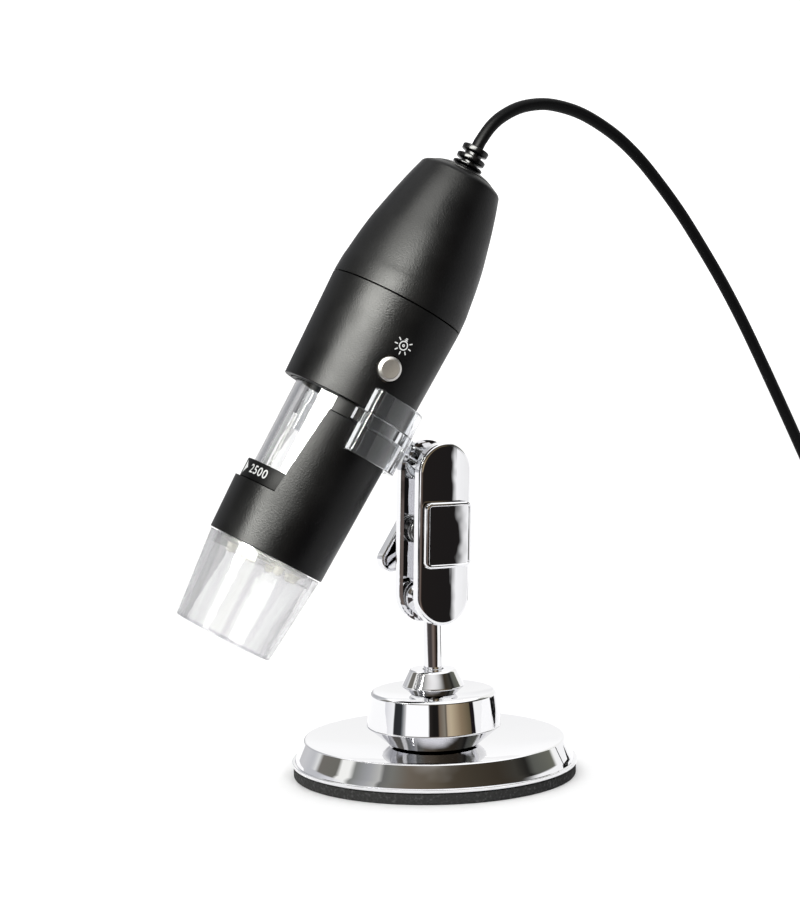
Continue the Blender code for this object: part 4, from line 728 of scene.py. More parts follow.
def turned(name: str, outline: Outline, steps: int = 128, closed: bool = True, angle: float = FULL_TURN) -> Piece:
    """Turn an outline round Z, as on a lathe.

    Args:
        name: the piece's name.
        outline: (radius, height, rounding of that corner) in mm; the rounding may be left out.
        steps: sides of a full turn.
        closed: whether the outline closes on itself; an open one starts and ends on the axis.
        angle: how far it is turned, clockwise seen from above; less than a full turn leaves two flat ends.

    Returns:
        The piece, with its faces outwards.
    """
    corners = [(Vector((at[0], 0, at[1])) * MM, at[2] if len(at) > 2 else 0.0) for at in outline]
    thing = primitive(name, bpy.ops.mesh.primitive_plane_add, size=MM, location=corners[0][0])
    with editing(thing):
        pick_all()
        bpy.ops.mesh.merge(type="CENTER")
        for (here, _), (there, _) in zip(corners, corners[1:]):
            bpy.ops.mesh.extrude_region_move(TRANSFORM_OT_translate={"value": there - here})
        if closed:
            ends = (corners[0][0], corners[-1][0])
            pick_points(thing, lambda co: any((co - end).length < MERGE_DISTANCE for end in ends))
            bpy.ops.mesh.edge_face_add()
        for rounding in sorted({size for _, size in corners if size}):
            places = [place for place, size in corners if size == rounding]
            pick_points(thing, lambda co: any((co - place).length < MERGE_DISTANCE for place in places))
            bpy.ops.mesh.bevel(offset=rounding * MM, offset_type="OFFSET", segments=4, affect="VERTICES")
        pick_all()
        if angle < FULL_TURN:
            bpy.ops.mesh.edge_face_add()
        count = max(1, round(steps * angle / FULL_TURN))
        bpy.ops.mesh.spin(steps=count, angle=angle, center=(0, 0, 0), axis=(0, 0, 1))
        if angle < FULL_TURN:
            pick(thing, "EDGE", lambda edge: edge.is_boundary)
            bpy.ops.mesh.edge_face_add()
    tidy(thing)
    return thing


def smooth_line(knots: Sequence[Vector], pieces: int) -> list[Vector]:
    """Fine points of a smooth line.

    Args:
        knots: what it goes through.
        pieces: how many steps are made between two of them.

    Returns:
        The points, up to the last knot.
    """
    ends = [2 * knots[0] - knots[1], *knots, 2 * knots[-1] - knots[-2]]
    fine = []
    for p0, p1, p2, p3 in zip(ends, ends[1:], ends[2:], ends[3:]):
        bend, twist = 2 * p0 - 5 * p1 + 4 * p2 - p3, 3 * p1 - p0 - 3 * p2 + p3
        for t in (i / pieces for i in range(pieces)):
            fine.append((2 * p1 + (p2 - p0) * t + bend * t ** 2 + twist * t ** 3) / 2)
    return fine + [knots[-1]]


def ball_arc(radius: float, start: float, end: float, pieces: int = 20) -> list[tuple[float, float]]:
    """Points of a ball's outline, from one angle to another, measured from its top."""
    turns = [start + (end - start) * i / pieces for i in range(pieces + 1)]
    return [(radius * math.sin(turn), radius * math.cos(turn)) for turn in turns]


def block(
    name: str, size: Sequence[float], centre: Sequence[float] = (0, 0, 0), rounding: float = 0.3, segments: int = 3,
) -> Piece:
    """A box with all its edges rounded.

    Args:
        name: the piece's name.
        size: its three sides in mm.
        centre: its middle in mm.
        rounding: how far each edge is rounded, in mm.
        segments: facets of a rounded edge.

    Returns:
        The piece.
    """
    thing = primitive(name, bpy.ops.mesh.primitive_cube_add, size=MM, location=Vector(centre) * MM, scale=size)
    if rounding:
        with editing(thing):
            pick_all()
            bpy.ops.mesh.bevel(offset=rounding * MM, segments=segments, affect="EDGES")
    return thing


def rod(name: str, radius: float, start: Sequence[float], end: Sequence[float], sides: int = 48) -> Piece:
    """A round bar between two points.

    Args:
        name: the piece's name.
        radius: in mm.
        start: first end in mm.
        end: other end in mm.
        sides: how many faces go round it.

    Returns:
        The piece.
    """
    low, high = Vector(start) * MM, Vector(end) * MM
    return primitive(
        name, bpy.ops.mesh.primitive_cylinder_add, vertices=sides, radius=radius * MM, depth=(high - low).length,
        location=(low + high) / 2, rotation=Vector((0, 0, 1)).rotation_difference(high - low).to_euler(),
    )


def obround_face(name: str, width: float, length: float, sides: int = 96) -> Piece:
    """A flat slot-shaped face, longer along Y: a circle whose halves are moved apart.

    Args:
        name: the piece's name.
        width: in mm.
        length: in mm.
        sides: points round both ends together.

    Returns:
        The piece, one face in the XY plane.
    """
    thing = primitive(
        name, bpy.ops.mesh.primitive_circle_add, vertices=sides, radius=width / 2 * MM, fill_type="NGON",
        rotation=(0, 0, math.pi / sides),
    )
    reach = (length - width) / 2 * MM
    with editing(thing):
        for side in (1, -1):
            pick_points(thing, lambda co: co.y * side > 0)
            bpy.ops.transform.translate(value=(0, side * reach, 0))
    return thing


# ---------------------------------------------------------------- frames of the joints


def rotation(axis: str, degrees: float = 90) -> Matrix:
    """A turn round an axis."""
    return Matrix.Rotation(math.radians(degrees), 4, axis)


def move(x: float, y: float, z: float) -> Matrix:
    """A move by some mm."""
    return Matrix.Translation((x * MM, y * MM, z * MM))


def around(degrees: float, radius: float, station: float) -> Vector:
    """A point in the tube's frame, in metres from an angle and mm."""
    angle = math.radians(degrees)
    return Vector((radius * math.cos(angle), -radius * math.sin(angle), -station)) * MM


def outward(degrees: float) -> Matrix:
    """A turn whose Z points out of the tube at an angle and whose X points to the tail.

    Args:
        degrees: the angle round the tube.

    Returns:
        The turn.
    """
    out = around(degrees, 1, 0).normalized()
    tail = Vector((0, 0, 1))
    return Matrix((tail, out.cross(tail), out)).transposed().to_4x4()


def standing(height: float, depth: float) -> Matrix:
    """A frame that stands a flat outline up in the clamp's plane, its Z towards the front."""
    return move(0, depth, height) @ rotation("X")


@dataclass(frozen=True)
class Frames:
    """Where each joint's frame stands at rest, in mm and degrees."""

    ball_height: float = 42.4
    ball_spacing: float = 32.2
    clamp_lean: float = 2.2
    holder_lean: float = 29.0
    holder_spin: float = 7.44
    holder_reach: float = 29.7
    clip_station: float = 29.0
    button_angle: float = 99.0
    button_station: float = 16.0
    tube_radius: float = 16.5
    tube_taper: float = 2.05 / 66.3

    def stem(self) -> Matrix:
        """The lower ball."""
        return move(0, 0, self.ball_height)

    def clamp(self) -> Matrix:
        """The clamp, at the lower ball."""
        return self.stem() @ rotation("Y", self.clamp_lean)

    def wing(self) -> Matrix:
        """The clamp's screw."""
        return self.clamp() @ move(0, 0, self.ball_spacing / 2)

    def holder(self) -> Matrix:
        """The upper ball."""
        lean = rotation("Y", self.holder_lean - self.clamp_lean)
        return self.clamp() @ move(0, 0, self.ball_spacing) @ lean

    def clip(self) -> Matrix:
        """The middle of the clip, on the tube's axis."""
        spun = self.holder() @ rotation("X", self.holder_spin)
        return spun @ move(-self.holder_reach, 0, 0)

    def tube(self) -> Matrix:
        """The seam of the housing, with Z to the tail."""
        return self.clip() @ move(0, 0, self.clip_station)

    def housing_radius(self, station: float) -> float:
        """Outer radius of housing and sleeve, in mm."""
        return self.tube_radius - self.tube_taper * station

    def button(self) -> Matrix:
        """The button, with Z out of the housing."""
        face = around(self.button_angle, self.housing_radius(self.button_station), self.button_station)
        return self.tube() @ Matrix.Translation(face) @ outward(self.button_angle)


FRAMES = Frames()


def receivers() -> bpy.types.Collection:
    """The pieces that the softboxes light: all but the chromed ones, which mirror the tent alone."""
    return bpy.data.collections.get("softbox_receivers") or bpy.data.collections.new("softbox_receivers")


def paint(thing: Piece, finish: Finish) -> None:
    """Give a piece its material, and no other."""
    thing.data.materials.clear()
    thing.data.materials.append(finish.material())


def keep(thing: Piece, finish: Finish, body: str, *nodes: str) -> Piece:
    """Finish a piece: its material, the body it rides on, and the CAD nodes it stands for.

    Args:
        thing: the piece, in place.
        finish: its material.
        body: the CAD body's name.
        *nodes: the CAD nodes that it replaces.

    Returns:
        The same piece.
    """
    paint(thing, finish)
    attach(thing, body)
    if not isinstance(finish, ChromePlate):
        receivers().objects.link(thing)
    if nodes:
        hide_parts(*nodes)
    LOG.info("%s rides on %s in %s", thing.name, body, finish.name)
    return thing


def sides_where(thing: Piece, test: Callable[[Vector, Vector], bool]) -> list[int]:
    """Find faces while a piece is still about its own axis.

    Args:
        thing: the piece.
        test: says from a face's middle and normal whether it is wanted.

    Returns:
        The faces' numbers.
    """
    with editing(thing):
        pick_faces(thing, test)
        return [face.index for face in bmesh.from_edit_mesh(thing.data).faces if face.select]


def lies_along(middle: Vector, normal: Vector, limit: float) -> bool:
    """Whether a face near the tube's axis looks sideways rather than towards or away from it."""
    return abs(normal.dot(middle.xy.to_3d().normalized())) < limit


def refinish(thing: Piece, finish: Finish, sides: Sequence[int]) -> None:
    """Give some faces of a finished piece a second finish.

    Args:
        thing: the piece.
        finish: their material.
        sides: the faces' numbers.
    """
    thing.data.materials.append(finish.material())
    for side in sides:
        thing.data.polygons[side].material_index = 1


# ---------------------------------------------------------------- studio


@dataclass(frozen=True)
class Softbox:
    """A soft lamp that looks at one point, and that all but the chrome mirrors."""

    name: str
    azimuth: float
    elevation: float
    distance: float
    size: tuple[float, float]
    watts: float
    colour: str
    target: tuple[float, float, float]

    def build(self, aligned: Matrix) -> None:
        """Hang the lamp.

        Args:
            aligned: turn from the camera's heading, from which azimuths count, to the model's frame.
        """
        turn, rise = math.radians(self.azimuth), math.radians(self.elevation)
        way = aligned @ Vector((math.sin(turn) * math.cos(rise), math.cos(turn) * math.cos(rise), math.sin(rise)))
        lamp = bpy.data.lights.new(self.name, "AREA")
        lamp.shape = "RECTANGLE"
        lamp.size, lamp.size_y = (side * MM for side in self.size)
        lamp.energy = self.watts
        lamp.color = linear(self.colour)[:3]
        hung = bpy.data.objects.new(self.name, lamp)
        bpy.context.scene.collection.objects.link(hung)
        hung.visible_diffuse = False
        hung.light_linking.receiver_collection = receivers()
        middle = Vector(self.target) * MM + way * self.distance * MM
        hung.matrix_world = Matrix.Translation(middle) @ way.to_track_quat("Z", "Y").to_matrix().to_4x4()


@dataclass
class Studio:
    """Camera, floor, lamps and the white tent that the chrome mirrors.

    The tent's storeys run from one azimuth to the next, in degrees from straight behind, to the right.
    """

    camera_place: tuple[float, float, float] = (-330.6, -509.05, 137.42)
    camera_lens: float = 102.0
    yaw: float = -0.655
    pitch: float = 5.546
    roll: float = -1.071
    heading: float = -33.0
    floor_drop: float = 0.02
    floor_front: float = -70.0
    floor_reach: float = 1500.0
    tent_strength: float = 1.22
    seen_white: float = 1.12
    ceiling_white: float = 1.2
    level_rise: tuple[float, float] = (-0.085, -0.05)
    high_rise: tuple[float, float] = (0.16, 0.24)
    ceiling_rise: tuple[float, float] = (0.60, 0.72)
    low: Bands = (
        (-180, "#6A5F5A"), (-165, "#3F3A3A"), (-128, "#45403F"), (-112, "#828080"), (-92, "#BEBDBD"), (-72, "#E4E4E4"),
        (60, "#F4F4F4"), (72, "#B4B4B4"), (90, "#C8C8C8"), (108, "#E8E8E8"), (111.4, "#F6F6F6"), (111.8, "#1C1A1A"),
        (132, "#221E1B"), (148, "#4A3D37"), (166, "#71665F"), (180, "#6A5F5A"),
    )
    level: Bands = (
        (-180, "#1A1817"), (-172, "#2A2624"), (-171, "#FFFFFF"), (-131, "#FFFFFF"), (-129.5, "#C4C4C4"),
        (-123, "#5A5E61"), (-121, "#2E3032"), (-107, "#2A2B2D"), (-106, "#F1F2F2"), (-94, "#E6E6E8"), (-82, "#D4D5D9"),
        (-70, "#BCBDC1"), (-52, "#BBBCBF"), (-40, "#C4C4C6"), (-8, "#B4B4B6"), (0, "#F3F3F3"), (104, "#F3F3F3"),
        (105, "#15131A"), (113, "#1B1716"), (114, "#5E5543"), (132, "#84745E"), (150, "#B8A98F"), (157, "#AFA18C"),
        (158, "#3B342E"), (161, "#837D72"), (171, "#63564A"), (172, "#1B1918"), (180, "#1A1817"),
    )
    high: Bands = (
        (-180, "#5A5246"), (-156, "#686056"), (-140, "#72726D"), (-132, "#6A6A68"), (-128, "#B4B4B1"),
        (-118, "#9C9D9F"), (-104, "#7E807D"), (-99, "#F2F2EE"), (-90, "#F0F0EC"), (-86, "#6A6963"), (-66, "#6E6B66"),
        (-61, "#DCDDDC"), (-50, "#B4B5B8"), (-26, "#ACADB0"), (-10, "#F0F0F0"), (56, "#F3F3EF"), (60, "#67685F"),
        (84, "#575853"), (92, "#232220"), (104, "#3A3833"), (122, "#373129"), (144, "#3E382F"), (164, "#463F35"),
        (180, "#5A5246"),
    )
    softboxes: Sequence[Softbox] = (
        Softbox("key", -158, 27, 900, (950, 340), 63.0, "#FFFFF9", (-25, 0, 110)),
        Softbox("key_top", -160, 56, 900, (750, 400), 12.0, "#FFFFF9", (-25, 0, 110)),
    )

    def aligned(self) -> Matrix:
        """Turn from the camera's heading to the model's frame."""
        return rotation("Z", self.heading)

    def add_camera(self) -> None:
        """The photograph's camera."""
        yaw, pitch, roll = (math.radians(value) for value in (self.yaw, self.pitch, self.roll))
        ahead = Vector((math.sin(yaw) * math.cos(pitch), math.cos(yaw) * math.cos(pitch), -math.sin(pitch)))
        side = Vector((math.cos(yaw), -math.sin(yaw), 0))
        above = side.cross(ahead)
        right = side * math.cos(roll) + above * math.sin(roll)
        top = above * math.cos(roll) - side * math.sin(roll)
        turn = Matrix((right, top, -ahead)).transposed().to_4x4()
        lens = bpy.data.cameras.new("camera")
        lens.lens = self.camera_lens
        lens.clip_start = 10 * MM
        camera = bpy.data.objects.new("camera", lens)
        bpy.context.scene.collection.objects.link(camera)
        camera.matrix_world = move(*self.camera_place) @ self.aligned() @ turn
        bpy.context.scene.camera = camera

    def add_floor(self) -> None:
        """A pale floor in two sheets; the near one doesn't show in the chrome, as the photograph's table ends there."""
        sheets = (("floor", self.floor_front, self.floor_reach), ("floor_near", -self.floor_reach, self.floor_front))
        for name, near, far in sheets:
            sheet = primitive(
                name, bpy.ops.mesh.primitive_plane_add, (2 * self.floor_reach * MM, (far - near) * MM, 1), size=1,
                location=(0, (near + far) / 2 * MM, -self.floor_drop * MM),
            )
            settle(sheet, self.aligned())
            paint(sheet, PAPER)
            sheet.visible_glossy = name == "floor"

    def add_world(self) -> None:
        """White for what the camera sees, and a tent with dark gaps for what lights and mirrors the object."""
        world = bpy.data.worlds.new("studio")
        bpy.context.scene.world = world
        world.use_nodes = True
        world.node_tree.nodes.clear()
        bench = Bench(world.node_tree)
        way = bench.add("TexCoord").outputs["Generated"]
        aligned = bench.add("VectorRotate", {
            "Vector": way, "Angle": math.radians(-self.heading), "Axis": (0, 0, 1),
        }, rotation_type="AXIS_ANGLE")
        axes = bench.add("SeparateXYZ", {"Vector": aligned}).outputs
        turn = bench.add("Math", {0: axes["X"], 1: axes["Y"]}, operation="ARCTAN2")
        azimuth = bench.add("MapRange", {"Value": turn, "From Min": -math.pi, "From Max": math.pi})
        storeys = []
        for bands in (self.low, self.level, self.high):
            stops = [((degrees + 180) / 360, linear(code)) for degrees, code in bands]
            storeys.append(bench.add("ValToRGB", {"Fac": azimuth}, stops))
        colour, level, high = storeys
        ceiling = (self.ceiling_white,) * 3 + (1.0,)
        for above, (start, end) in ((level, self.level_rise), (high, self.high_rise), (ceiling, self.ceiling_rise)):
            rise = {"Value": axes["Z"], "From Min": start, "From Max": end}
            share = bench.add("MapRange", rise, interpolation_type="SMOOTHSTEP")
            colour = bench.add("Mix", {"Factor": share, "A": colour, "B": above}, data_type="RGBA")
        path = bench.add("LightPath").outputs
        mirrored = bench.add("Math", {0: path["Is Glossy Ray"], 1: path["Is Transmission Ray"]}, operation="MAXIMUM")
        white = (self.seen_white,) * 3 + (1.0,)
        seen = bench.add("Mix", {"Factor": mirrored, "A": white, "B": colour}, data_type="RGBA")
        glow = bench.add("Background", {"Color": seen, "Strength": self.tent_strength})
        bench.add("OutputWorld", {"Surface": glow})

    def build(self) -> None:
        """Set the whole studio up."""
        bpy.context.scene.view_settings.view_transform = "Standard"
        self.add_camera()
        self.add_floor()
        self.add_world()
        for softbox in self.softboxes:
            softbox.build(self.aligned())
        LOG.info("studio stands")


# ---------------------------------------------------------------- cord and plug


@dataclass
class Cord:
    """The cord from the strain relief over the table into its coil, and on to the plug, in one curve."""

    diameter: float = 3.0
    lift: float = 0.05
    step: float = 1.5
    curve_steps: int = 16
    relief_end: float = 41.3
    coil_x: float = 180.0
    coil_layers: int = 4
    coil_turns: int = 2
    coil_pitch: float = 3.6
    coil_radius: float = 27.0
    coil_points: int = 72
    tail_start: float = 3.3
    tail_run: float = 22.3
    plug_height: float = 4.05
    route: Sequence[tuple[float, float, float]] = (
        (12.87, -9.6, 154.95), (16.5, -9.65, 157.45), (21.5, -9.6, 159.4), (27.6, -9.5, 160.15), (33.1, -9.4, 159.6),
        (39.2, -9.3, 158.0), (45.2, -9.3, 155.25), (51.2, -9.3, 151.6), (57.3, -9.3, 146.65), (63.4, -9.3, 140.5),
        (69.6, -9.3, 133.55), (75.9, -9.3, 125.45), (82.3, -9.3, 116.65), (88.7, -9.3, 106.9), (95.2, -9.3, 96.0),
        (101.8, -9.3, 84.5), (107.6, -9.3, 74.2), (114.2, -9.3, 62.4), (120.6, -9.3, 50.8), (126.8, -9.3, 39.6),
        (133.0, -9.3, 29.2), (139.8, -9.3, 19.7), (147.6, -9.3, 11.6), (156.0, -9.3, 5.8), (164.0, -9.3, 2.6),
        (170.0, -9.3, 1.75),
    )

    def smooth(self, points: Sequence[Vector]) -> list[Vector]:
        """Evenly spaced points of a smooth line.

        Args:
            points: what it goes through.

        Returns:
            The new points.
        """
        fine = smooth_line(points, self.curve_steps)
        lengths = [0.0]
        for a, b in zip(fine, fine[1:]):
            lengths.append(lengths[-1] + (b - a).length)
        count = max(2, round(lengths[-1] / self.step))
        even, at = [], 0
        for i in range(count + 1):
            target = lengths[-1] * i / count
            while at < len(lengths) - 2 and lengths[at + 1] < target:
                at += 1
            share = (target - lengths[at]) / (lengths[at + 1] - lengths[at])
            even.append(fine[at].lerp(fine[at + 1], min(1.0, share)))
        return even

    def coil(self) -> list[Vector]:
        """Piled loops that spiral in and out again, and climb where the spiral reverses.

        Returns:
            The coil's points in mm.
        """
        centre_y = self.route[-1][1] + self.coil_radius
        low = self.diameter / 2 + self.lift
        loops = []
        for step in range(self.coil_layers * self.coil_turns * self.coil_points + 1):
            turn = step / self.coil_points
            reversal = round(turn / self.coil_turns)
            past = turn - reversal * self.coil_turns
            if 0 < reversal < self.coil_layers and abs(past) < 1 / 4:
                climb = 1 / 2 + 2 * past
                level = reversal - 1 + climb * climb * (3 - 2 * climb)
            else:
                level = min(turn // self.coil_turns, self.coil_layers - 1)
            phase = turn / self.coil_turns % 2
            radius = self.coil_radius - self.coil_pitch * self.coil_turns * min(phase, 2 - phase)
            angle = FULL_TURN * turn - QUARTER_TURN
            loops.append(Vector((
                self.coil_x + radius * math.cos(angle), centre_y + radius * math.sin(angle),
                low + self.coil_pitch * level,
            )))
        return loops

    def points(self) -> list[Vector]:
        """The whole route in mm.

        Returns:
            Its points, from the strain relief to the plug.
        """
        tube = FRAMES.tube()
        leave = [tube @ Vector((0, 0, up * MM)) / MM for up in (self.relief_end, self.relief_end + self.diameter / 2)]
        coil = self.coil()
        first, last = coil[0], coil[-1]
        run = Vector((self.diameter, 0, 0))
        route = [Vector(point) for point in self.route]
        lead = self.smooth([*leave, *route, first - run * 2, first - run / 2, first])
        end = Vector((last.x + self.tail_start + self.tail_run, last.y, self.plug_height))
        tail = self.smooth([last, last + run / 2, last + run * 2, (last + run + end) / 2, end - run, end])
        return lead + coil[1:] + tail[1:]

    def build(self, plug: Sequence[Piece]) -> None:
        """Args:
            plug: the pieces on its far end; not used.
        """
        points = [point * MM for point in self.points()]
        line = bpy.data.curves.new("cord", "CURVE")
        line.dimensions = "3D"
        line.bevel_depth = self.diameter / 2 * MM
        line.bevel_resolution = 4
        line.use_fill_caps = True
        spline = line.splines.new("POLY")
        spline.points.add(len(points) - 1)
        for at, point in zip(spline.points, points):
            at.co = (*point, 1)
        spline.use_smooth = True
        cord = bpy.data.objects.new("cord", line)
        bpy.context.scene.collection.objects.link(cord)
        keep(cord, CORD_PVC, "microscope", "cord_lead", "cord_coil", "cord_tail")


@dataclass
class Plug:
    """Type A plug: moulded grip with a ribbed boot, folded metal shell, and the tongue with its contacts."""

    boot_start: float = 205.6
    centre_y: float = -9.3
    centre_z: float = 4.05
    boot_length: float = 9.0
    boot_rings: int = 4
    boot_pitch: float = 2.2
    boot_tip: float = 2.1
    boot_flare: float = 0.35
    boot_neck: float = 1.9
    boot_run_in: float = 2.5
    ring_length: float = 1.5
    ring_swell: float = 0.2
    grip: tuple[float, float, float] = (20.0, 15.6, 8.0)
    grip_rounding: float = 1.6
    hollow: tuple[float, float] = (8.4, 12.0)
    hollow_shift: float = 0.8
    hollow_sink: float = 0.35
    groove: tuple[float, float] = (0.9, 1.0)
    groove_count: int = 5
    groove_pitch: float = 2.2
    groove_reach: float = 6.0
    groove_out: float = 0.15
    shell: tuple[float, float] = (12.0, 4.5)
    shell_wall: float = 0.35
    shell_reach: float = 12.5
    shell_depth: float = 6.0
    shell_gap: float = 0.3
    pocket_end: float = 1.7
    catch_hole: tuple[float, float] = (2.0, 2.2)
    catch_hole_reach: float = 6.2
    catch_hole_side: float = 2.5
    seam: float = 0.12
    tongue_height: float = 1.8
    tongue_end: float = 0.6
    contacts: Sequence[tuple[float, float]] = ((-3.5, 7.4), (-1.0, 6.4), (1.0, 6.4), (3.5, 7.4))
    contact: tuple[float, float] = (1.0, 0.3)
    contact_end: float = 1.2

    def place(self) -> Matrix:
        """Frame whose X runs from the boot to the tip."""
        return move(self.boot_start, self.centre_y, self.centre_z)

    def shell_ends(self) -> tuple[float, float]:
        """Where the shell starts inside the grip, and where it ends."""
        face = self.boot_length + self.grip[0]
        return face - self.shell_depth, face + self.shell_reach

    def build_boot(self) -> Piece:
        """Boot with rings that widen towards the grip.

        Returns:
            The piece, to be joined to the grip.
        """
        rings = []
        for ring in range(self.boot_rings):
            start = ring * self.boot_pitch
            end = start + self.ring_length
            radius = self.boot_tip + self.boot_flare * ring
            rings += [(self.boot_neck, start), (radius, start, 0.15), (radius + self.ring_swell, end, 0.2)]
            rings.append((self.boot_neck, end))
        inside = self.boot_length + self.boot_run_in
        outline = [(0, 0.0), *rings[1:], (self.boot_neck, inside), (0, inside)]
        return settle(turned("boot", outline, steps=48, closed=False), rotation("Y"))

    def build_grip(self) -> Piece:
        """Grip with hollows for finger and thumb, finger grooves on its sides, and its boot.

        Returns:
            The piece.
        """
        length, width, height = self.grip
        middle = self.boot_length + length / 2
        grip = block("usb_grip", self.grip, (middle, 0, 0), rounding=self.grip_rounding, segments=6)
        for side in (1, -1):
            hollow = obround_face("hollow", *self.hollow, 48)
            with editing(hollow):
                pick_all()
                extrude(2)
            tidy(hollow)
            up = side * (height / 2 + 1 - self.hollow_sink) - 1
            settle(hollow, move(middle + self.hollow_shift, 0, up) @ rotation("Z"))
            combine(grip, hollow)
            for number in range(self.groove_count):
                at = middle - self.groove_reach + number * self.groove_pitch
                centre = (at, side * (width / 2 + self.groove_out), 0)
                combine(grip, block("groove", (*self.groove, height + 2), centre, rounding=0.2))
        combine(grip, self.build_boot(), "UNION")
        start = self.shell_ends()[0]
        pocket = (self.shell_depth + 2, self.shell[0] + 2 * self.shell_gap, self.shell[1] + 2 * self.shell_gap)
        combine(grip, block("pocket", pocket, (start + self.shell_depth / 2 + self.pocket_end - 1, 0, 0)))
        settle(grip, self.place())
        return keep(shade(grip, flat=True), PVC, "microscope", "usb_grip")

    def build_shell(self) -> Piece:
        """Folded shell with its two pairs of catch holes and the seam below.

        Returns:
            The piece.
        """
        start, end = self.shell_ends()
        middle = (start + end) / 2
        width, height = self.shell
        wall = self.shell_wall
        shell = block("usb_shell", (end - start, width, height), (middle, 0, 0))
        room = (end - start + 2, width - 2 * wall, height - 2 * wall)
        combine(shell, block("inside", room, (middle + 1 + wall, 0, 0), rounding=0.15))
        for side in (-1, 1):
            centre = (end - self.catch_hole_reach, side * self.catch_hole_side, 0)
            combine(shell, block("hole", (*self.catch_hole, height + 2), centre, rounding=0.2))
        seam = (self.shell_reach - 1, self.seam, 1.0)
        combine(shell, block("seam", seam, (end - self.shell_reach / 2, 0.0, -height / 2), rounding=0))
        settle(shell, self.place())
        return keep(shade(shell, flat=True), TIN_SHEET, "microscope", "usb_shell")

    def build_tongue(self) -> list[Piece]:
        """White tongue with four gold contacts let into it.

        Returns:
            The pieces.
        """
        start, end = self.shell_ends()
        start += self.shell_wall + self.shell_gap
        end -= self.tongue_end
        low = -self.shell[1] / 2 + self.shell_wall + self.shell_gap
        top = low + self.tongue_height
        size = (end - start, self.shell[0] - 2 * self.shell_wall - 2 * self.shell_gap, self.tongue_height)
        tongue = block("usb_tongue", size, ((start + end) / 2, 0, low + self.tongue_height / 2), rounding=0.2)
        width, thickness = self.contact
        pieces = []
        for number, (y, length) in enumerate(self.contacts):
            x = end - self.contact_end - length / 2
            combine(tongue, block("slot", (length + 0.3, width + 0.3, 0.6), (x, y, top), rounding=0))
            contact = block(f"usb_contact_{number + 1}", (length, width, thickness), (x, y, top - 0.1), rounding=0.08)
            settle(contact, self.place())
            pieces.append(keep(shade(contact), GOLD, "microscope"))
        settle(tongue, self.place())
        return [keep(shade(tongue, flat=True), NYLON, "microscope", "usb_tongue"), *pieces]

    def build(self) -> list[Piece]:
        """Make the plug's pieces."""
        return [self.build_grip(), self.build_shell(), *self.build_tongue()]


# ---------------------------------------------------------------- stand


@dataclass
class Stand:
    """Foot pad, spun base, hub, collar and ball stem."""

    pad: Outline = ((0, 2.45), (34.1, 2.45, 0.25), (34.1, 0, 0.25), (0, 0))
    bore: float = 1.8
    hub_foot: float = 10.7
    edge_radius: float = 31.4
    dish_bottom: float = 6.85
    dish_depth: float = 2.05
    dish_power: float = 1.6
    dish_steps: int = 12
    wall: float = 1.2
    rim: Outline = ((33.4, 4.65, 0.4), (33.7, 3.65), (34.4, 3.65, 0.2), (34.4, 2.75, 0.2))
    rim_inside: Outline = ((32.2, 2.75, 0.2), (32.2, 4.65), (30.2, 6.5))
    hub: Outline = (
        (2.5, 19.15), (5.5, 19.15), (10.35, 19.517), (14.6, 20.25, 0.25), (15.2, 19.65, 0.25), (16.25, 12.05, 0.14),
        (16.25, 11.75, 0.14), (10.7, 7.15), (1.8, 7.15), (1.8, 10.55), (2.5, 10.55),
    )
    collar: Outline = (
        (2.5, 25.45, 0.2), (5.4, 25.45, 0.14), (5.7, 25.15, 0.14), (7.5, 21.55, 0.12), (7.5, 21.25, 0.12),
        (5.5, 19.45), (2.5, 19.45),
    )
    ball_radius: float = 4.0
    stem_radius: float = 2.2
    stem_bottom: float = -31.55
    fillet_angle: float = 0.06

    def build_pad(self) -> None:
        """Sawn foam disc."""
        pad = turned("foot_pad", self.pad, closed=False)
        keep(shade(pad), FOAM, "base", "foot_pad")

    def build_shell(self) -> None:
        """Spun cover with its dish, bevel and rim, and a rolled inner wall."""
        shares = [i / self.dish_steps for i in range(self.dish_steps, -1, -1)]
        run = self.edge_radius - self.hub_foot
        dish = [
            (self.hub_foot + run * share, self.dish_bottom + self.dish_depth * share ** self.dish_power)
            for share in shares[1:]
        ]
        edge = (self.edge_radius, self.dish_bottom + self.dish_depth, 0.35)
        under = [(radius, height - self.wall) for radius, height in dish]
        outline = [
            (self.bore, self.dish_bottom), *dish[::-1], edge, *self.rim, *self.rim_inside, *under,
            (self.bore, self.dish_bottom - self.wall),
        ]
        shell = turned("base_shell", outline, steps=192)
        keep(shade(shell, 24, flat=True), CHROME, "base", "base_shell")

    def build_hub(self) -> None:
        """Heavy turned foot of the stem."""
        keep(shade(turned("hub", self.hub, steps=160), 28, flat=True), CHROME, "base", "hub")

    def build_collar(self) -> None:
        """Tapered nut round the foot of the stem."""
        keep(shade(turned("stem_collar", self.collar), 28, flat=True), CHROME, "base", "stem_collar")

    def build_stem(self) -> None:
        """Ball and stem from one bar, with a small fillet where they meet."""
        neck = math.pi - math.asin(self.stem_radius / self.ball_radius)
        arc = ball_arc(self.ball_radius, 0, neck - self.fillet_angle, 28)
        foot = (self.stem_radius, self.stem_bottom, 0.3)
        outline = [*arc, (self.stem_radius, -self.ball_radius, 0.3), foot, (0, self.stem_bottom)]
        stem = settle(turned("ball_stem", outline, steps=96, closed=False), FRAMES.stem())
        keep(shade(stem, 40, flat=True), CHROME, "stem", "ball_stem")

    def build(self) -> None:
        """Make the stand."""
        self.build_pad()
        self.build_shell()
        self.build_hub()
        self.build_collar()
        self.build_stem()


# ---------------------------------------------------------------- clamp


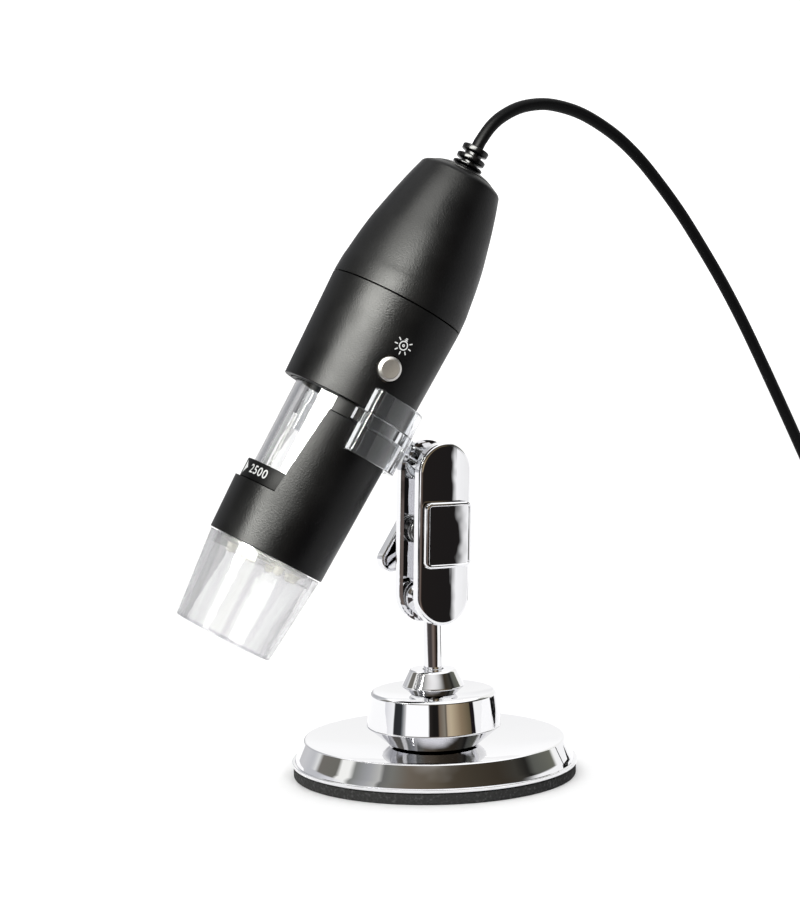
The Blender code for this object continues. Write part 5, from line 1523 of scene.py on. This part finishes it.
@dataclass
class Clamp:
    """Two chromed plates with ball pockets, drawn together by a screw and a wing nut."""

    width: float = 14.6
    length: float = 44.0
    gap: float = 4.8
    thickness: float = 3.2
    lip: float = 0.7
    lip_inset: float = 0.6
    rounding: float = 0.9
    ball_radius: float = 4.3
    bore: float = 1.8
    sink: float = 3.2
    sink_floor: float = 3.9
    cover: tuple[float, float, float] = (12.8, 15.8, 1.5)
    cover_corner: float = 1.6
    cover_edge: float = 0.5
    cover_foot: float = 0.3
    panel_inset: float = 0.25
    panel_slope: float = 0.18
    panel_depth: float = 0.2
    crown_radius: float = 160.0
    crown_cuts: int = 7
    screw_head: Outline = ((0, 5.4), (2.4, 5.4), (2.9, 4.95, 0.1), (2.9, 4.2, 0.1), (1.5, 4.2))
    screw_end: Outline = ((1.4, -11.7, 0.1), (0, -11.7))
    thread_start: float = 4.9
    thread_pitch: float = 0.5
    thread_turns: int = 14
    thread_radii: tuple[float, float] = (1.5, 1.28)
    cross: tuple[float, float, float] = (3.2, 0.7, 1.4)
    cross_height: float = 5.2
    washer: Outline = ((1.8, 5.9), (4.2, 5.9, 0.2), (4.2, 6.6, 0.08), (1.8, 6.6))
    nut: Outline = ((1.8, 6.9), (4.8, 6.9, 0.3), (4.8, 9.9, 0.5), (3.6, 10.9, 0.4), (1.8, 10.9))
    nut_bore: tuple[float, float] = (5.0, 12.0)
    wing_root: float = 4.6
    wing_tip: float = 3.0
    wing_thickness: float = 3.0
    wing_border: float = 1.1
    wing_hollow: float = 0.35
    wing_edge: float = 0.5
    wing_depth: float = 8.9
    wing_reach: float = 9.6
    wing_angles: tuple[float, float] = (228.0, 48.0)
    wire: float = 0.35
    spring_radius: float = 3.0
    spring_turns: float = 2.5
    spring_reach: float = 1.75

    def crown(self, thing: Piece, top: float, depth: float) -> None:
        """Give a flat face the slight crown that buffing leaves, so that it doesn't mirror one spot only.

        Args:
            thing: the piece, its face looking along +Z.
            top: height of that face in mm.
            depth: how far below it the crown runs out, in mm.
        """
        with editing(thing):
            for cut in range(-self.crown_cuts, self.crown_cuts + 1):
                pick_faces(thing, lambda middle, normal: normal.z > 0.9)
                bpy.ops.mesh.bisect(plane_co=(cut * MM, 0, 0), plane_no=(1, 0, 0))
            # Each point sinks by its own amount, and the operators move all that is selected alike.
            shape = bmesh.from_edit_mesh(thing.data)
            for point in shape.verts:
                share = min(1.0, max(0.0, 1 - (top * MM - point.co.z) / (depth * MM)))
                point.co.z -= share * point.co.x ** 2 / (2 * self.crown_radius * MM)
            bmesh.update_edit_mesh(thing.data)

    def build_plate(self, name: str, side: int) -> None:
        """One plate with its rolled outer edge, inner lip, pockets and bore.

        Args:
            name: the CAD node's name.
            side: -1 for the front plate and 1 for the back one.
        """
        plate = obround_face(name, self.width, self.length, 128)
        with editing(plate):
            pick_all("FACE")
            extrude(self.lip - self.thickness)
            bpy.ops.mesh.inset(thickness=self.lip_inset * MM, depth=0)
            extrude(-self.lip)
            pick_edges(plate, lambda co: abs(co.z) < MERGE_DISTANCE)
            bpy.ops.mesh.bevel(offset=self.rounding * MM, segments=6, affect="EDGES")
        tidy(plate)
        self.crown(plate, 0, self.rounding)
        outside = self.gap / 2 + self.thickness
        turn = Matrix() if side < 0 else rotation("Y", 180)
        middle = FRAMES.ball_spacing / 2
        settle(plate, standing(middle, side * outside) @ turn)
        for height in (0.0, FRAMES.ball_spacing):
            pocket = turned("pocket", ball_arc(self.ball_radius, 0, math.pi, 24), steps=64, closed=False)
            combine(plate, settle(pocket, move(0, 0, height)))
        combine(plate, rod("bore", self.bore, (0, 0, middle), (0, side * (outside + 1), middle)))
        if side < 0:
            combine(plate, rod("sink", self.sink, (0, -self.sink_floor, middle), (0, -outside - 1, middle)))
        settle(plate, FRAMES.clamp())
        keep(shade(plate, 32, flat=True), CHROME, "clamp", name)

    def build_cover(self) -> None:
        """Raised rounded rectangle: a rim with a bevelled edge round a panel that is sunk a little."""
        width, height, thickness = self.cover
        cover = primitive("screw_cover", bpy.ops.mesh.primitive_plane_add, (width, height, 1), size=MM)
        with editing(cover):
            pick_all()
            bpy.ops.mesh.bevel(offset=self.cover_corner * MM, segments=8, affect="VERTICES")
            pick_all("FACE")
            extrude(thickness)
            pick_edges(cover, lambda co: abs(co.z - thickness * MM) < MERGE_DISTANCE)
            bpy.ops.mesh.bevel(offset=self.cover_edge * MM, segments=4, affect="EDGES")
            pick_faces(cover, lambda middle, normal: middle.z > (thickness - 0.01) * MM and normal.z > 0.99)
            bpy.ops.mesh.inset(thickness=self.panel_inset * MM)
            bpy.ops.mesh.inset(thickness=self.panel_slope * MM, depth=-self.panel_depth * MM)
        tidy(cover)
        self.crown(cover, thickness, self.cover_edge)
        outside = self.gap / 2 + self.thickness
        settle(cover, FRAMES.clamp() @ standing(FRAMES.ball_spacing / 2, -outside - self.cover_foot))
        keep(shade(cover, 32, flat=True), CHROME, "clamp", "screw_cover")

    def build_screw(self) -> None:
        """Screw with a cross slot in its head and a threaded shank."""
        crest, root = self.thread_radii
        thread = []
        for number in range(self.thread_turns):
            down = self.thread_start + number * self.thread_pitch
            thread += [(crest, -down), (root, -down - self.thread_pitch / 2)]
        outline = [*self.screw_head, *thread, *self.screw_end]
        screw = turned("clamp_screw", outline, steps=48, closed=False)
        for degrees in (0, 90):
            slot = block("slot", self.cross, (0, 0, self.cross_height), rounding=0)
            combine(screw, settle(slot, rotation("Z", degrees)))
        settle(screw, FRAMES.wing() @ rotation("X"))
        keep(shade(screw, flat=True), STEEL, "clamp", "clamp_screw")

    def build_washer(self) -> None:
        """Pressed washer, its edges rounded by the punch on one side."""
        washer = turned("clamp_washer", self.washer, steps=72)
        settle(washer, FRAMES.wing() @ rotation("X", -90))
        keep(shade(washer, flat=True), STEEL, "clamp", "clamp_washer")

    def wing(self) -> Piece:
        """One wing, lying flat: a disc whose far half is drawn out and made smaller, with hollowed sides.

        Returns:
            The piece, to be copied onto the nut.
        """
        wing = primitive(
            "wing", bpy.ops.mesh.primitive_circle_add, vertices=64, radius=self.wing_root * MM, fill_type="NGON",
            rotation=(0, 0, math.pi / 64),
        )
        small = self.wing_tip / self.wing_root
        levels = ((0.0, self.wing_hollow), (self.wing_thickness, -self.wing_hollow))
        with editing(wing):
            pick_points(wing, lambda co: co.x > 0)
            bpy.ops.transform.resize(value=(small, small, 1), center_override=(0, 0, 0))
            bpy.ops.transform.translate(value=(self.wing_reach * MM, 0, 0))
            pick_all("FACE")
            extrude(self.wing_thickness)
            for level, sink in levels:
                pick_faces(wing, lambda middle, normal: abs(middle.z - level * MM) < MERGE_DISTANCE)
                bpy.ops.mesh.inset(thickness=self.wing_border * MM)
                bpy.ops.transform.translate(value=(0, 0, sink * MM))
            for level, _ in levels:
                pick_edges(wing, lambda co: abs(co.z - level * MM) < MERGE_DISTANCE)
                bpy.ops.mesh.bevel(offset=self.wing_edge * MM, segments=4, affect="EDGES")
        tidy(wing)
        return wing

    def build_wing_nut(self) -> None:
        """Cast nut: a domed hub and two rounded wings."""
        nut = settle(turned("wing_nut", self.nut, steps=96), rotation("X", -90))
        wing = self.wing()
        upright = rotation("X") @ move(0, 0, -self.wing_thickness / 2)
        for angle in self.wing_angles:
            place = move(0, self.wing_depth, 0) @ rotation("Y", -angle)
            combine(nut, copied(wing, "wing", place @ upright), "UNION")
        bpy.data.objects.remove(wing, do_unlink=True)
        inner, outer = self.nut_bore
        combine(nut, rod("bore", self.bore, (0, inner, 0), (0, outer, 0)))
        settle(nut, FRAMES.wing())
        keep(shade(nut, 34, flat=True), CHROME, "wing", "wing_nut")

    def build_spring(self) -> None:
        """Open coil spring round the screw, its wire ends cut square."""
        spring = primitive(
            "clamp_spring", bpy.ops.mesh.primitive_circle_add, vertices=16, radius=self.wire * MM,
            location=(self.spring_radius * MM, 0, -self.spring_reach * MM), rotation=(QUARTER_TURN, 0, 0),
        )
        worked(
            spring, "SCREW", angle=FULL_TURN * self.spring_turns, screw_offset=2 * self.spring_reach * MM, steps=100,
            render_steps=100,
        )
        with editing(spring):
            pick(spring, "EDGE", lambda edge: edge.is_boundary)
            bpy.ops.mesh.fill_holes(sides=0)
        tidy(spring)
        settle(spring, FRAMES.wing() @ rotation("X", -90))
        keep(shade(spring, 40), SPRING_STEEL, "clamp", "clamp_spring")

    def build(self) -> None:
        """Make the clamp."""
        self.build_plate("clamp_front_plate", -1)
        self.build_plate("clamp_back_plate", 1)
        self.build_cover()
        self.build_screw()
        self.build_washer()
        self.build_wing_nut()
        self.build_spring()


# ---------------------------------------------------------------- clip


@dataclass
class Clip:
    """Clear spring clip round the tube, and the ball its neck ends in."""

    inner: float = 16.1445
    outer: float = 17.8945
    half: float = 7.8
    front_span: float = 102.0
    rear_span: float = 95.0
    rib_overhang: float = 6.0
    rib: tuple[float, float, float, float] = (14.1, 17.02, -0.95, 2.05)
    flange_foot: float = 0.583
    flange_height: float = 2.6
    flange_thickness: float = 1.5
    flange_rounding: float = 0.45
    bar_end: float = 21.6
    bar: tuple[float, float] = (2.9, 4.8)
    neck: Outline = ((0, 20.6), (1.75, 20.6), (1.75, 25.4, 0.3), (1.2, 25.4), (1.2, 29.1, 0.3), (0, 29.1))
    ball_radius: float = 4.0
    pin_bore: float = 1.5
    pin_end: float = 0.3

    def arc(self, name: str, outline: Outline, front: float, rear: float) -> Piece:
        """Part of a ring, from the rear end to the front one.

        Args:
            name: the piece's name.
            outline: its section.
            front: degrees towards the front.
            rear: degrees towards the rear.

        Returns:
            The piece.
        """
        ring = turned(name, outline, steps=144, angle=math.radians(front + rear))
        return settle(ring, rotation("Z", rear))

    def build_clip(self) -> None:
        """Band, rib, end flanges and neck, joined into one moulding."""
        low, high = -self.half, self.half
        band = ((self.outer, high, 0.3), (self.outer, low, 0.3), (self.inner, low, 0.2), (self.inner, high, 0.2))
        clip = self.arc("holder_clip", band, self.front_span, self.rear_span)
        r0, r1, z0, z1 = self.rib
        reach = (self.front_span + self.rib_overhang, self.rear_span + self.rib_overhang)
        rib = self.arc("rib", ((r1, z1), (r1, z0), (r0, z0, 0.2), (r0, z1, 0.2)), *reach)
        combine(clip, rib, "UNION")
        start, end = self.inner + self.flange_foot, self.outer + self.flange_height
        for side, span in ((1, self.front_span), (-1, self.rear_span)):
            angle = side * (span - math.degrees(self.flange_thickness / 2 / self.outer))
            size = (2 * self.half, self.flange_thickness, end - start)
            flange = block("flange", size, rounding=self.flange_rounding)
            settle(flange, Matrix.Translation(around(angle, (start + end) / 2, 0)) @ outward(angle))
            combine(clip, flange, "UNION")
        combine(clip, block("bar", (self.bar_end - start, *self.bar), ((start + self.bar_end) / 2, 0, 0)), "UNION")
        neck = turned("neck", self.neck, steps=48, closed=False)
        combine(clip, settle(neck, rotation("Y")), "UNION")
        soften(clip, 0.12, 60)
        settle(clip, FRAMES.clip())
        keep(shade(clip, 32, flat=True), CLIP_ACRYLIC, "holder", "holder_clip")

    def build_ball(self) -> None:
        """Ball, bored for the neck's pin."""
        arc = ball_arc(self.ball_radius, math.asin(self.pin_bore / self.ball_radius), math.pi, 28)
        ball = turned("holder_ball", [(0, self.pin_end), (self.pin_bore, self.pin_end), *arc], steps=72, closed=False)
        settle(ball, FRAMES.holder() @ rotation("Y", -90))
        keep(shade(ball, 40), ACRYLIC, "upper_ball", "holder_ball")

    def build(self) -> None:
        """Make clip and ball."""
        self.build_clip()
        self.build_ball()


# ---------------------------------------------------------------- microscope


@dataclass
class Housing:
    """Black housing in two halves, its tail plug and strain relief, and the button."""

    tail: Outline = (
        (16.5, 0), (16.302, 3.795), (16.005, 6.105), (15.3945, 10.89), (14.6025, 15.609), (13.60, 20.0),
        (12.58, 24.2), (11.40, 28.6), (10.0485, 33.0),
    )
    tail_rim: Outline = ((7.6985, 32.2), (7.6985, 34.2, 0.2), (10.0485, 33.0, 0.7))
    rim_inside: tuple[float, float] = (8.4485, 31.8)
    wall: float = 1.6
    seam_edge: float = 0.08
    front_end: float = 26.6
    front_start: float = 0.3
    spigot: tuple[float, float, float] = (14.6, 13.3, 4.0)
    step_inside: tuple[float, float] = (14.84, -1.9)
    button_hole: float = 3.2
    hole_reach: tuple[float, float] = (10.0, 18.0)
    plug: Outline = (
        (2.9, 35.5), (4.0, 35.5, 0.3), (5.699, 35.133, 0.8), (7.3985, 34.4, 0.15), (7.3985, 31.8), (2.9, 31.8),
    )
    relief_foot: Outline = ((0, 30.0), (5.0, 30.0), (5.0, 31.5), (2.6, 31.5))
    relief_tip: Outline = ((2.2, 41.0), (1.62, 40.6), (0, 40.6))
    rings: Sequence[tuple[float, float, float]] = ((35.8, 36.6, 3.75), (37.3, 38.6, 3.57), (39.5, 41.0, 3.3))
    neck: float = 2.1
    button: Outline = (
        (0, 0.82), (1.7, 0.86), (2.2, 0.9, 0.15), (2.9, 0.5, 0.2), (2.9, -2.4), (3.5, -2.4), (3.5, -3.2), (1.2, -3.2),
        (1.2, -4.805, 0.2), (0, -4.805),
    )

    def build_tail(self) -> None:
        """Rear half, which narrows in one smooth curve to a rounded rim."""
        curve = [tuple(at) for at in smooth_line([Vector(point) for point in self.tail], 8)]
        foot = (*self.tail[0], self.seam_edge)
        inside = [(radius - self.wall, height) for radius, height in curve[:-1]]
        outline = [*self.tail_rim, *curve[-2:0:-1], foot, *inside, self.rim_inside]
        shell = settle(turned("tail_shell", outline, steps=160), FRAMES.tube())
        keep(shade(shell, 28), BODY_ABS, "microscope", "tail_shell")

    def build_front(self) -> None:
        """Front half with the spigot and the button's hole."""
        start, end = self.front_start, self.front_end
        far = FRAMES.housing_radius(end)
        outside, inside, top = self.spigot
        outline = [
            (outside, top, 0.2), (outside, -start), (FRAMES.housing_radius(start), -start, self.seam_edge),
            (far, -end, 0.25), (far - self.wall, -end), self.step_inside, (inside, -start), (inside, top),
        ]
        shell = turned("front_shell", outline, steps=160)
        inner, outer = (around(FRAMES.button_angle, out, FRAMES.button_station) / MM for out in self.hole_reach)
        combine(shell, rod("hole", self.button_hole, inner, outer, sides=64))
        settle(shell, FRAMES.tube())
        keep(shade(shell, 28, flat=True), BODY_ABS, "microscope", "front_shell")

    def build_plug(self) -> None:
        """Domed plate in the tail's rim."""
        plug = settle(turned("tail_plug", self.plug), FRAMES.tube())
        keep(shade(plug), PVC, "microscope", "tail_plug")

    def build_relief(self) -> None:
        """Ribbed boot with rounded rings and narrow necks."""
        outline = list(self.relief_foot)
        for low, high, radius in self.rings:
            outline += [(self.neck, low, 0.1), (radius - 0.1, low + 0.2, 0.2)]
            outline += [(radius, high, 0.3), (self.neck, high, 0.1)]
        outline[-1:] = self.relief_tip
        relief = turned("strain_relief", outline, steps=72, closed=False)
        settle(relief, FRAMES.tube())
        keep(shade(relief, 34), PVC, "microscope", "strain_relief")

    def build_button(self) -> None:
        """Round push button with a broken edge and a faintly dished face."""
        button = settle(turned("lamp_button", self.button, steps=96, closed=False), FRAMES.button())
        keep(shade(button), SILVER, "button", "lamp_button")

    def build(self) -> None:
        """Make the housing."""
        self.build_tail()
        self.build_front()
        self.build_plug()
        self.build_relief()
        self.build_button()


@dataclass
class Front:
    """Focus sleeve, index ring, clear tube, hood and lamps."""

    window_top: float = 26.7
    window_bottom: float = 52.9
    window_front: tuple[float, float] = (128.0, 138.2)
    window_rear: float = 305.0
    window_reach: float = 18.0
    sleeve: Outline = (
        (13.7, -23.8), (13.7, -30.3), (15.263, -30.3), (15.554, -30.6, 0.12), (14.45, -66.3, 0.2), (12.7, -66.3),
        (12.7, -53.4), (14.15, -53.4), (14.15, -31.7), (12.7, -31.7), (12.7, -23.8),
    )
    index: Outline = (
        (13.85, -48.2, 0.15), (13.85, -52.7, 0.05), (13.6, -52.7), (13.6, -53.25), (12.7, -53.25), (12.7, -48.2),
    )
    skirt_station: float = 52.65
    clear: Outline = ((12.4, -20.4, 0.15), (12.4, -69.0, 0.15), (11.2, -69.0, 0.1), (11.2, -20.4, 0.1))
    slot: tuple[float, float, float] = (17.6, 2.4, 4.0)
    slot_station: float = 43.3
    slot_radius: float = 11.8
    slot_angles: tuple[float, float] = (171.0, 351.0)
    hood: Outline = (
        (14.1, -66.6, 0.15), (12.1, -88.0, 0.35), (10.9, -88.0, 0.3), (11.8, -69.3), (12.7, -69.3), (12.7, -66.6),
    )
    board: Outline = ((10.9, -66.0, 0.1), (10.9, -67.0, 0.1), (6.2, -67.0), (6.2, -66.0))
    board_holes: tuple[float, float] = (22.5, 202.5)
    hole_radius: float = 0.6
    hole_reach: tuple[float, float] = (65.0, 68.0)
    lamp: Outline = ((0, -67.3), (1.25, -67.3, 0.05), (1.25, -67.7, 0.05), (1.05, -67.7))
    dome_radius: float = 1.05
    dome_station: float = 68.45
    lamp_count: int = 8
    lamp_ring: float = 8.5

    def window(self) -> Piece:
        """A slice of cake that opens the sleeve; its first side slants.

        Returns:
            The cutter.
        """
        first, slant = self.window_front[1], self.window_front[1] - self.window_front[0]
        top, bottom = -self.window_top, -self.window_bottom
        outline = ((0, top), (self.window_reach, top), (self.window_reach, bottom), (0, bottom))
        cake = turned("window", outline, steps=120, angle=math.radians(self.window_rear - first))
        settle(cake, rotation("Z", -first))
        wedge = turned("wedge", outline, steps=120, angle=math.radians(slant + 3))
        settle(wedge, rotation("Z", slant - first))
        with editing(wedge):
            # The lower points close up towards the first side, each by its own angle, to make the slant.
            shape = bmesh.from_edit_mesh(wedge.data)
            for point in shape.verts:
                degrees = math.degrees(math.atan2(-point.co.y, point.co.x)) % 360
                if abs(point.co.z - bottom * MM) < MERGE_DISTANCE and point.co.xy.length > MM and degrees < first:
                    share = (first - degrees) / slant
                    point.co = around(first + 0.02 - 0.02 * share, point.co.xy.length / MM, self.window_bottom)
            bmesh.update_edit_mesh(wedge.data)
        return combine(cake, wedge, "UNION")

    def build_sleeve(self) -> None:
        """Tapered grip with its window and the neck that turns in the housing."""
        sleeve = turned("focus_sleeve", self.sleeve, steps=160)
        combine(sleeve, self.window())
        soften(sleeve, 0.12)
        start, end = (self.window_top + 0.2) * MM, (self.window_bottom + 0.3) * MM
        cut = sides_where(sleeve, lambda middle, normal: start < -middle.z < end and lies_along(middle, normal, 0.3))
        settle(sleeve, FRAMES.tube())
        keep(shade(sleeve, 28, flat=True), BODY_ABS, "focus", "focus_sleeve")
        # The window's cut faces get a darker, duller black: painted shade along the cut.
        refinish(sleeve, SHADE_LINE_ABS, cut)

    def build_index(self) -> None:
        """Ring behind the window, with a short skirt that keeps light out of the gap below it, and painted shade on
        that skirt.
        """
        ring = turned("index_ring", self.index)
        skirt = sides_where(ring, lambda middle, normal: middle.z < -self.skirt_station * MM)
        settle(ring, FRAMES.tube())
        keep(shade(ring), RING_ABS, "carriage", "index_ring")
        # The skirt gets the same darker black: painted shade in the gap below the ring.
        refinish(ring, SHADE_LINE_ABS, skirt)

    def build_clear(self) -> None:
        """Clear inner tube with its two guide slots."""
        tube = turned("clear_tube", self.clear, steps=144)
        for angle in self.slot_angles:
            slot = block("slot", self.slot, rounding=0)
            settle(slot, Matrix.Translation(around(angle, self.slot_radius, self.slot_station)) @ outward(angle))
            combine(tube, slot)
        reach = (self.slot[0] / 2 + 0.5) * MM
        middle_z = -self.slot_station * MM
        sides = sides_where(tube, lambda middle, normal: (
            abs(middle.z - middle_z) < reach and lies_along(middle, normal, 0.5)
        ))
        settle(tube, FRAMES.tube())
        keep(shade(tube, flat=True), TUBE_ACRYLIC, "microscope", "clear_tube")
        refinish(tube, CUT_ACRYLIC, sides)

    def build_hood(self) -> None:
        """Clear cup with a rounded rim."""
        hood = settle(turned("hood", self.hood, steps=144), FRAMES.tube())
        keep(shade(hood, flat=True), HOOD_ACRYLIC, "microscope", "hood")

    def build_lamps(self) -> None:
        """Ring board with its holes, and the lamps with their flanges."""
        board = turned("lamp_board", self.board, steps=96)
        for angle in self.board_holes:
            back, front = (around(angle, self.lamp_ring, station) / MM for station in self.hole_reach)
            combine(board, rod("hole", self.hole_radius, back, front, sides=24))
        settle(board, FRAMES.tube())
        keep(shade(board, flat=True), LAMP_BOARD, "microscope", "lamp_board")
        arc = ball_arc(self.dome_radius, QUARTER_TURN, math.pi, 10)
        dome = [(radius, height - self.dome_station) for radius, height in arc[:-1]]
        outline = [*self.lamp, *dome, (0, -self.dome_station - self.dome_radius)]
        model = shade(turned("lamp", outline, steps=32, closed=False), 40)
        for number in range(self.lamp_count):
            place = FRAMES.tube() @ Matrix.Translation(around(360 * number / self.lamp_count, self.lamp_ring, 0))
            name = f"lamp_{number + 1}"
            keep(copied(model, name + "_dome", place), LED, "microscope", name)
        bpy.data.objects.remove(model, do_unlink=True)

    def build(self) -> None:
        """Make the front of the microscope."""
        self.build_sleeve()
        self.build_index()
        self.build_clear()
        self.build_hood()
        self.build_lamps()


@dataclass
class Print:
    """Pad print: a small lamp sign beside the button, and a pointer with a plain number on the index ring."""

    lift: float = 0.03
    grid: float = 0.4
    grid_cuts: int = 12
    sign_station: float = 9.8
    sign_angle: float = 97.7
    bulb: tuple[float, float] = (0.86, 1.12)
    core: tuple[float, float] = (0.12, 0.34)
    cap: tuple[float, float, float] = (0.9, 0.24, 1.34)
    cap_end: tuple[float, float, float] = (0.6, 0.24, 1.72)
    ray: tuple[float, float, float] = (0.26, 0.8, 1.86)
    ray_count: int = 7
    ray_start: float = 55.0
    ray_step: float = 41.7
    number: str = "2500"
    number_angle: float = 180.0
    number_station: float = 50.4
    number_height: float = 2.15
    number_em: float = 1.38
    number_weight: float = 0.03
    number_spacing: float = 1.12
    number_start: float = -0.3
    ring_radius: float = 13.85
    pointer_radius: float = 1.5
    pointer_stretch: float = 1.25
    pointer_middle: float = -3.35

    def wrap(self, thing: Piece, angle: float, radius: float, station: float, taper: float = 0.0) -> Piece:
        """Bend a flat print round the tube: seen from outside its X runs to the right and its Y to the tail.

        Args:
            thing: the flat mesh, about its origin.
            angle: degrees of its middle.
            radius: of the surface, in mm.
            station: of its middle.
            taper: how much the radius shrinks for each mm of station.

        Returns:
            The piece, in place.
        """
        with editing(thing):
            for axis in ((1, 0, 0), (0, 1, 0)):
                for cut in range(-self.grid_cuts, self.grid_cuts + 1):
                    bpy.ops.mesh.select_all(action="SELECT")
                    bpy.ops.mesh.bisect(plane_co=Vector(axis) * cut * self.grid * MM, plane_no=axis)
            # The bend operator needs a window, so the points are laid on the tube here.
            shape = bmesh.from_edit_mesh(thing.data)
            for point in shape.verts:
                here = station - point.co.y / MM
                at = radius - taper * (here - station) + self.lift
                point.co = around(angle - math.degrees(point.co.x / MM / radius), at, here)
            bmesh.update_edit_mesh(thing.data)
        return settle(thing, FRAMES.tube())

    def ring_face(self, name: str, inner: float, outer: float, sides: int = 40) -> Piece:
        """A flat ring.

        Args:
            name: the piece's name.
            inner: inner radius in mm.
            outer: outer radius in mm.
            sides: points round it.

        Returns:
            The piece.
        """
        ring = primitive(
            name, bpy.ops.mesh.primitive_circle_add, vertices=sides, radius=outer * MM, fill_type="NOTHING",
        )
        with editing(ring):
            pick_all()
            bpy.ops.mesh.extrude_region_move()
            bpy.ops.transform.resize(value=(inner / outer, inner / outer, 1))
        return ring

    def bar_face(self, name: str, width: float, length: float, up: float = 0.0) -> Piece:
        """A flat bar with cut corners.

        Args:
            name: the piece's name.
            width: in mm.
            length: in mm, along Y.
            up: where its middle is along Y, in mm.

        Returns:
            The piece.
        """
        bar = primitive(name, bpy.ops.mesh.primitive_plane_add, (width, length, 1), size=MM)
        with editing(bar):
            pick_all()
            bpy.ops.mesh.bevel(offset=width * 0.3 * MM, segments=3, affect="VERTICES")
        return settle(bar, move(0, up, 0))

    def join(self, name: str, pieces: Sequence[Piece]) -> Piece:
        """Join flat pieces into one print.

        Args:
            name: the print's name.
            pieces: what it is made of.

        Returns:
            The print.
        """
        bpy.ops.object.select_all(action="DESELECT")
        for piece in pieces:
            piece.select_set(True)
        bpy.context.view_layer.objects.active = pieces[0]
        bpy.ops.object.join()
        return named(name)

    def build_sign(self) -> None:
        """Bulb with rays, drawn plainly."""
        pieces = [self.ring_face("bulb", *self.bulb), self.ring_face("core", *self.core, 20)]
        pieces += [self.bar_face("cap", *self.cap), self.bar_face("cap_end", *self.cap_end)]
        ray = self.bar_face("ray", *self.ray)
        for number in range(self.ray_count):
            pieces.append(copied(ray, "ray", rotation("Z", self.ray_start + number * self.ray_step)))
        bpy.data.objects.remove(ray, do_unlink=True)
        sign = self.join("lamp_sign", pieces)
        self.wrap(sign, self.sign_angle, FRAMES.housing_radius(self.sign_station), self.sign_station, FRAMES.tube_taper)
        keep(sign, INK, "microscope")

    def build_number(self) -> None:
        """Pointer and number."""
        bpy.ops.object.select_all(action="DESELECT")
        bpy.ops.object.text_add()
        words = bpy.context.object
        words.data.body = self.number
        words.data.size = self.number_height * self.number_em * MM
        words.data.align_x = "LEFT"
        words.data.align_y = "CENTER"
        words.data.offset = self.number_weight * MM
        words.data.space_character = self.number_spacing
        bpy.ops.object.convert(target="MESH")
        digits = named("digits")
        settle(digits, move(self.number_start, 0, 0))
        pointer = primitive(
            "pointer", bpy.ops.mesh.primitive_circle_add, (self.pointer_stretch, 1, 1), vertices=3,
            radius=self.pointer_radius * MM, fill_type="NGON", rotation=(0, 0, -QUARTER_TURN),
            location=(self.pointer_middle * MM, 0, 0),
        )
        mark = self.join("index_mark", [digits, pointer])
        tidy(mark)
        self.wrap(mark, self.number_angle, self.ring_radius, self.number_station)
        keep(mark, INK, "carriage")

    def build(self) -> None:
        """Make the prints."""
        self.build_sign()
        self.build_number()


# ---------------------------------------------------------------- hidden pieces that keep their CAD form


@dataclass
class Inside:
    """CAD nodes that keep their mesh and get their real material."""

    finishes: dict[str, Finish] = field(default_factory=lambda: {
        "base_weight": STEEL, "base_screw": STEEL, "holding_ring": INNER_ABS, "main_board": BOARD, "lamp_switch": CHIP,
        "control_chip": CHIP, "cord_socket": NYLON, "lens_carriage": NYLON, "sensor_board": BOARD, "image_sensor": CHIP,
        "lens_barrel": INNER_ABS, "front_lens": GLASS, "sensor_ribbon": FILM,
    })

    def build(self) -> None:
        """Give each its material."""
        for name, finish in self.finishes.items():
            paint(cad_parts[name], finish)
            LOG.info("%s keeps its CAD form in %s", name, finish.name)


def write_sizes() -> None:
    bpy.context.view_layer.update()


def main() -> None:
    """Build the studio, then the object from the cord to the print."""
    logging.basicConfig(level=logging.INFO, format="%(message)s")
    Studio().build()
    Cord().build(Plug().build())
    Stand().build()
    Clamp().build()
    Clip().build()
    Housing().build()
    Front().build()
    Print().build()
    Inside().build()
    write_sizes()


if __name__ == "__main__":
    main()
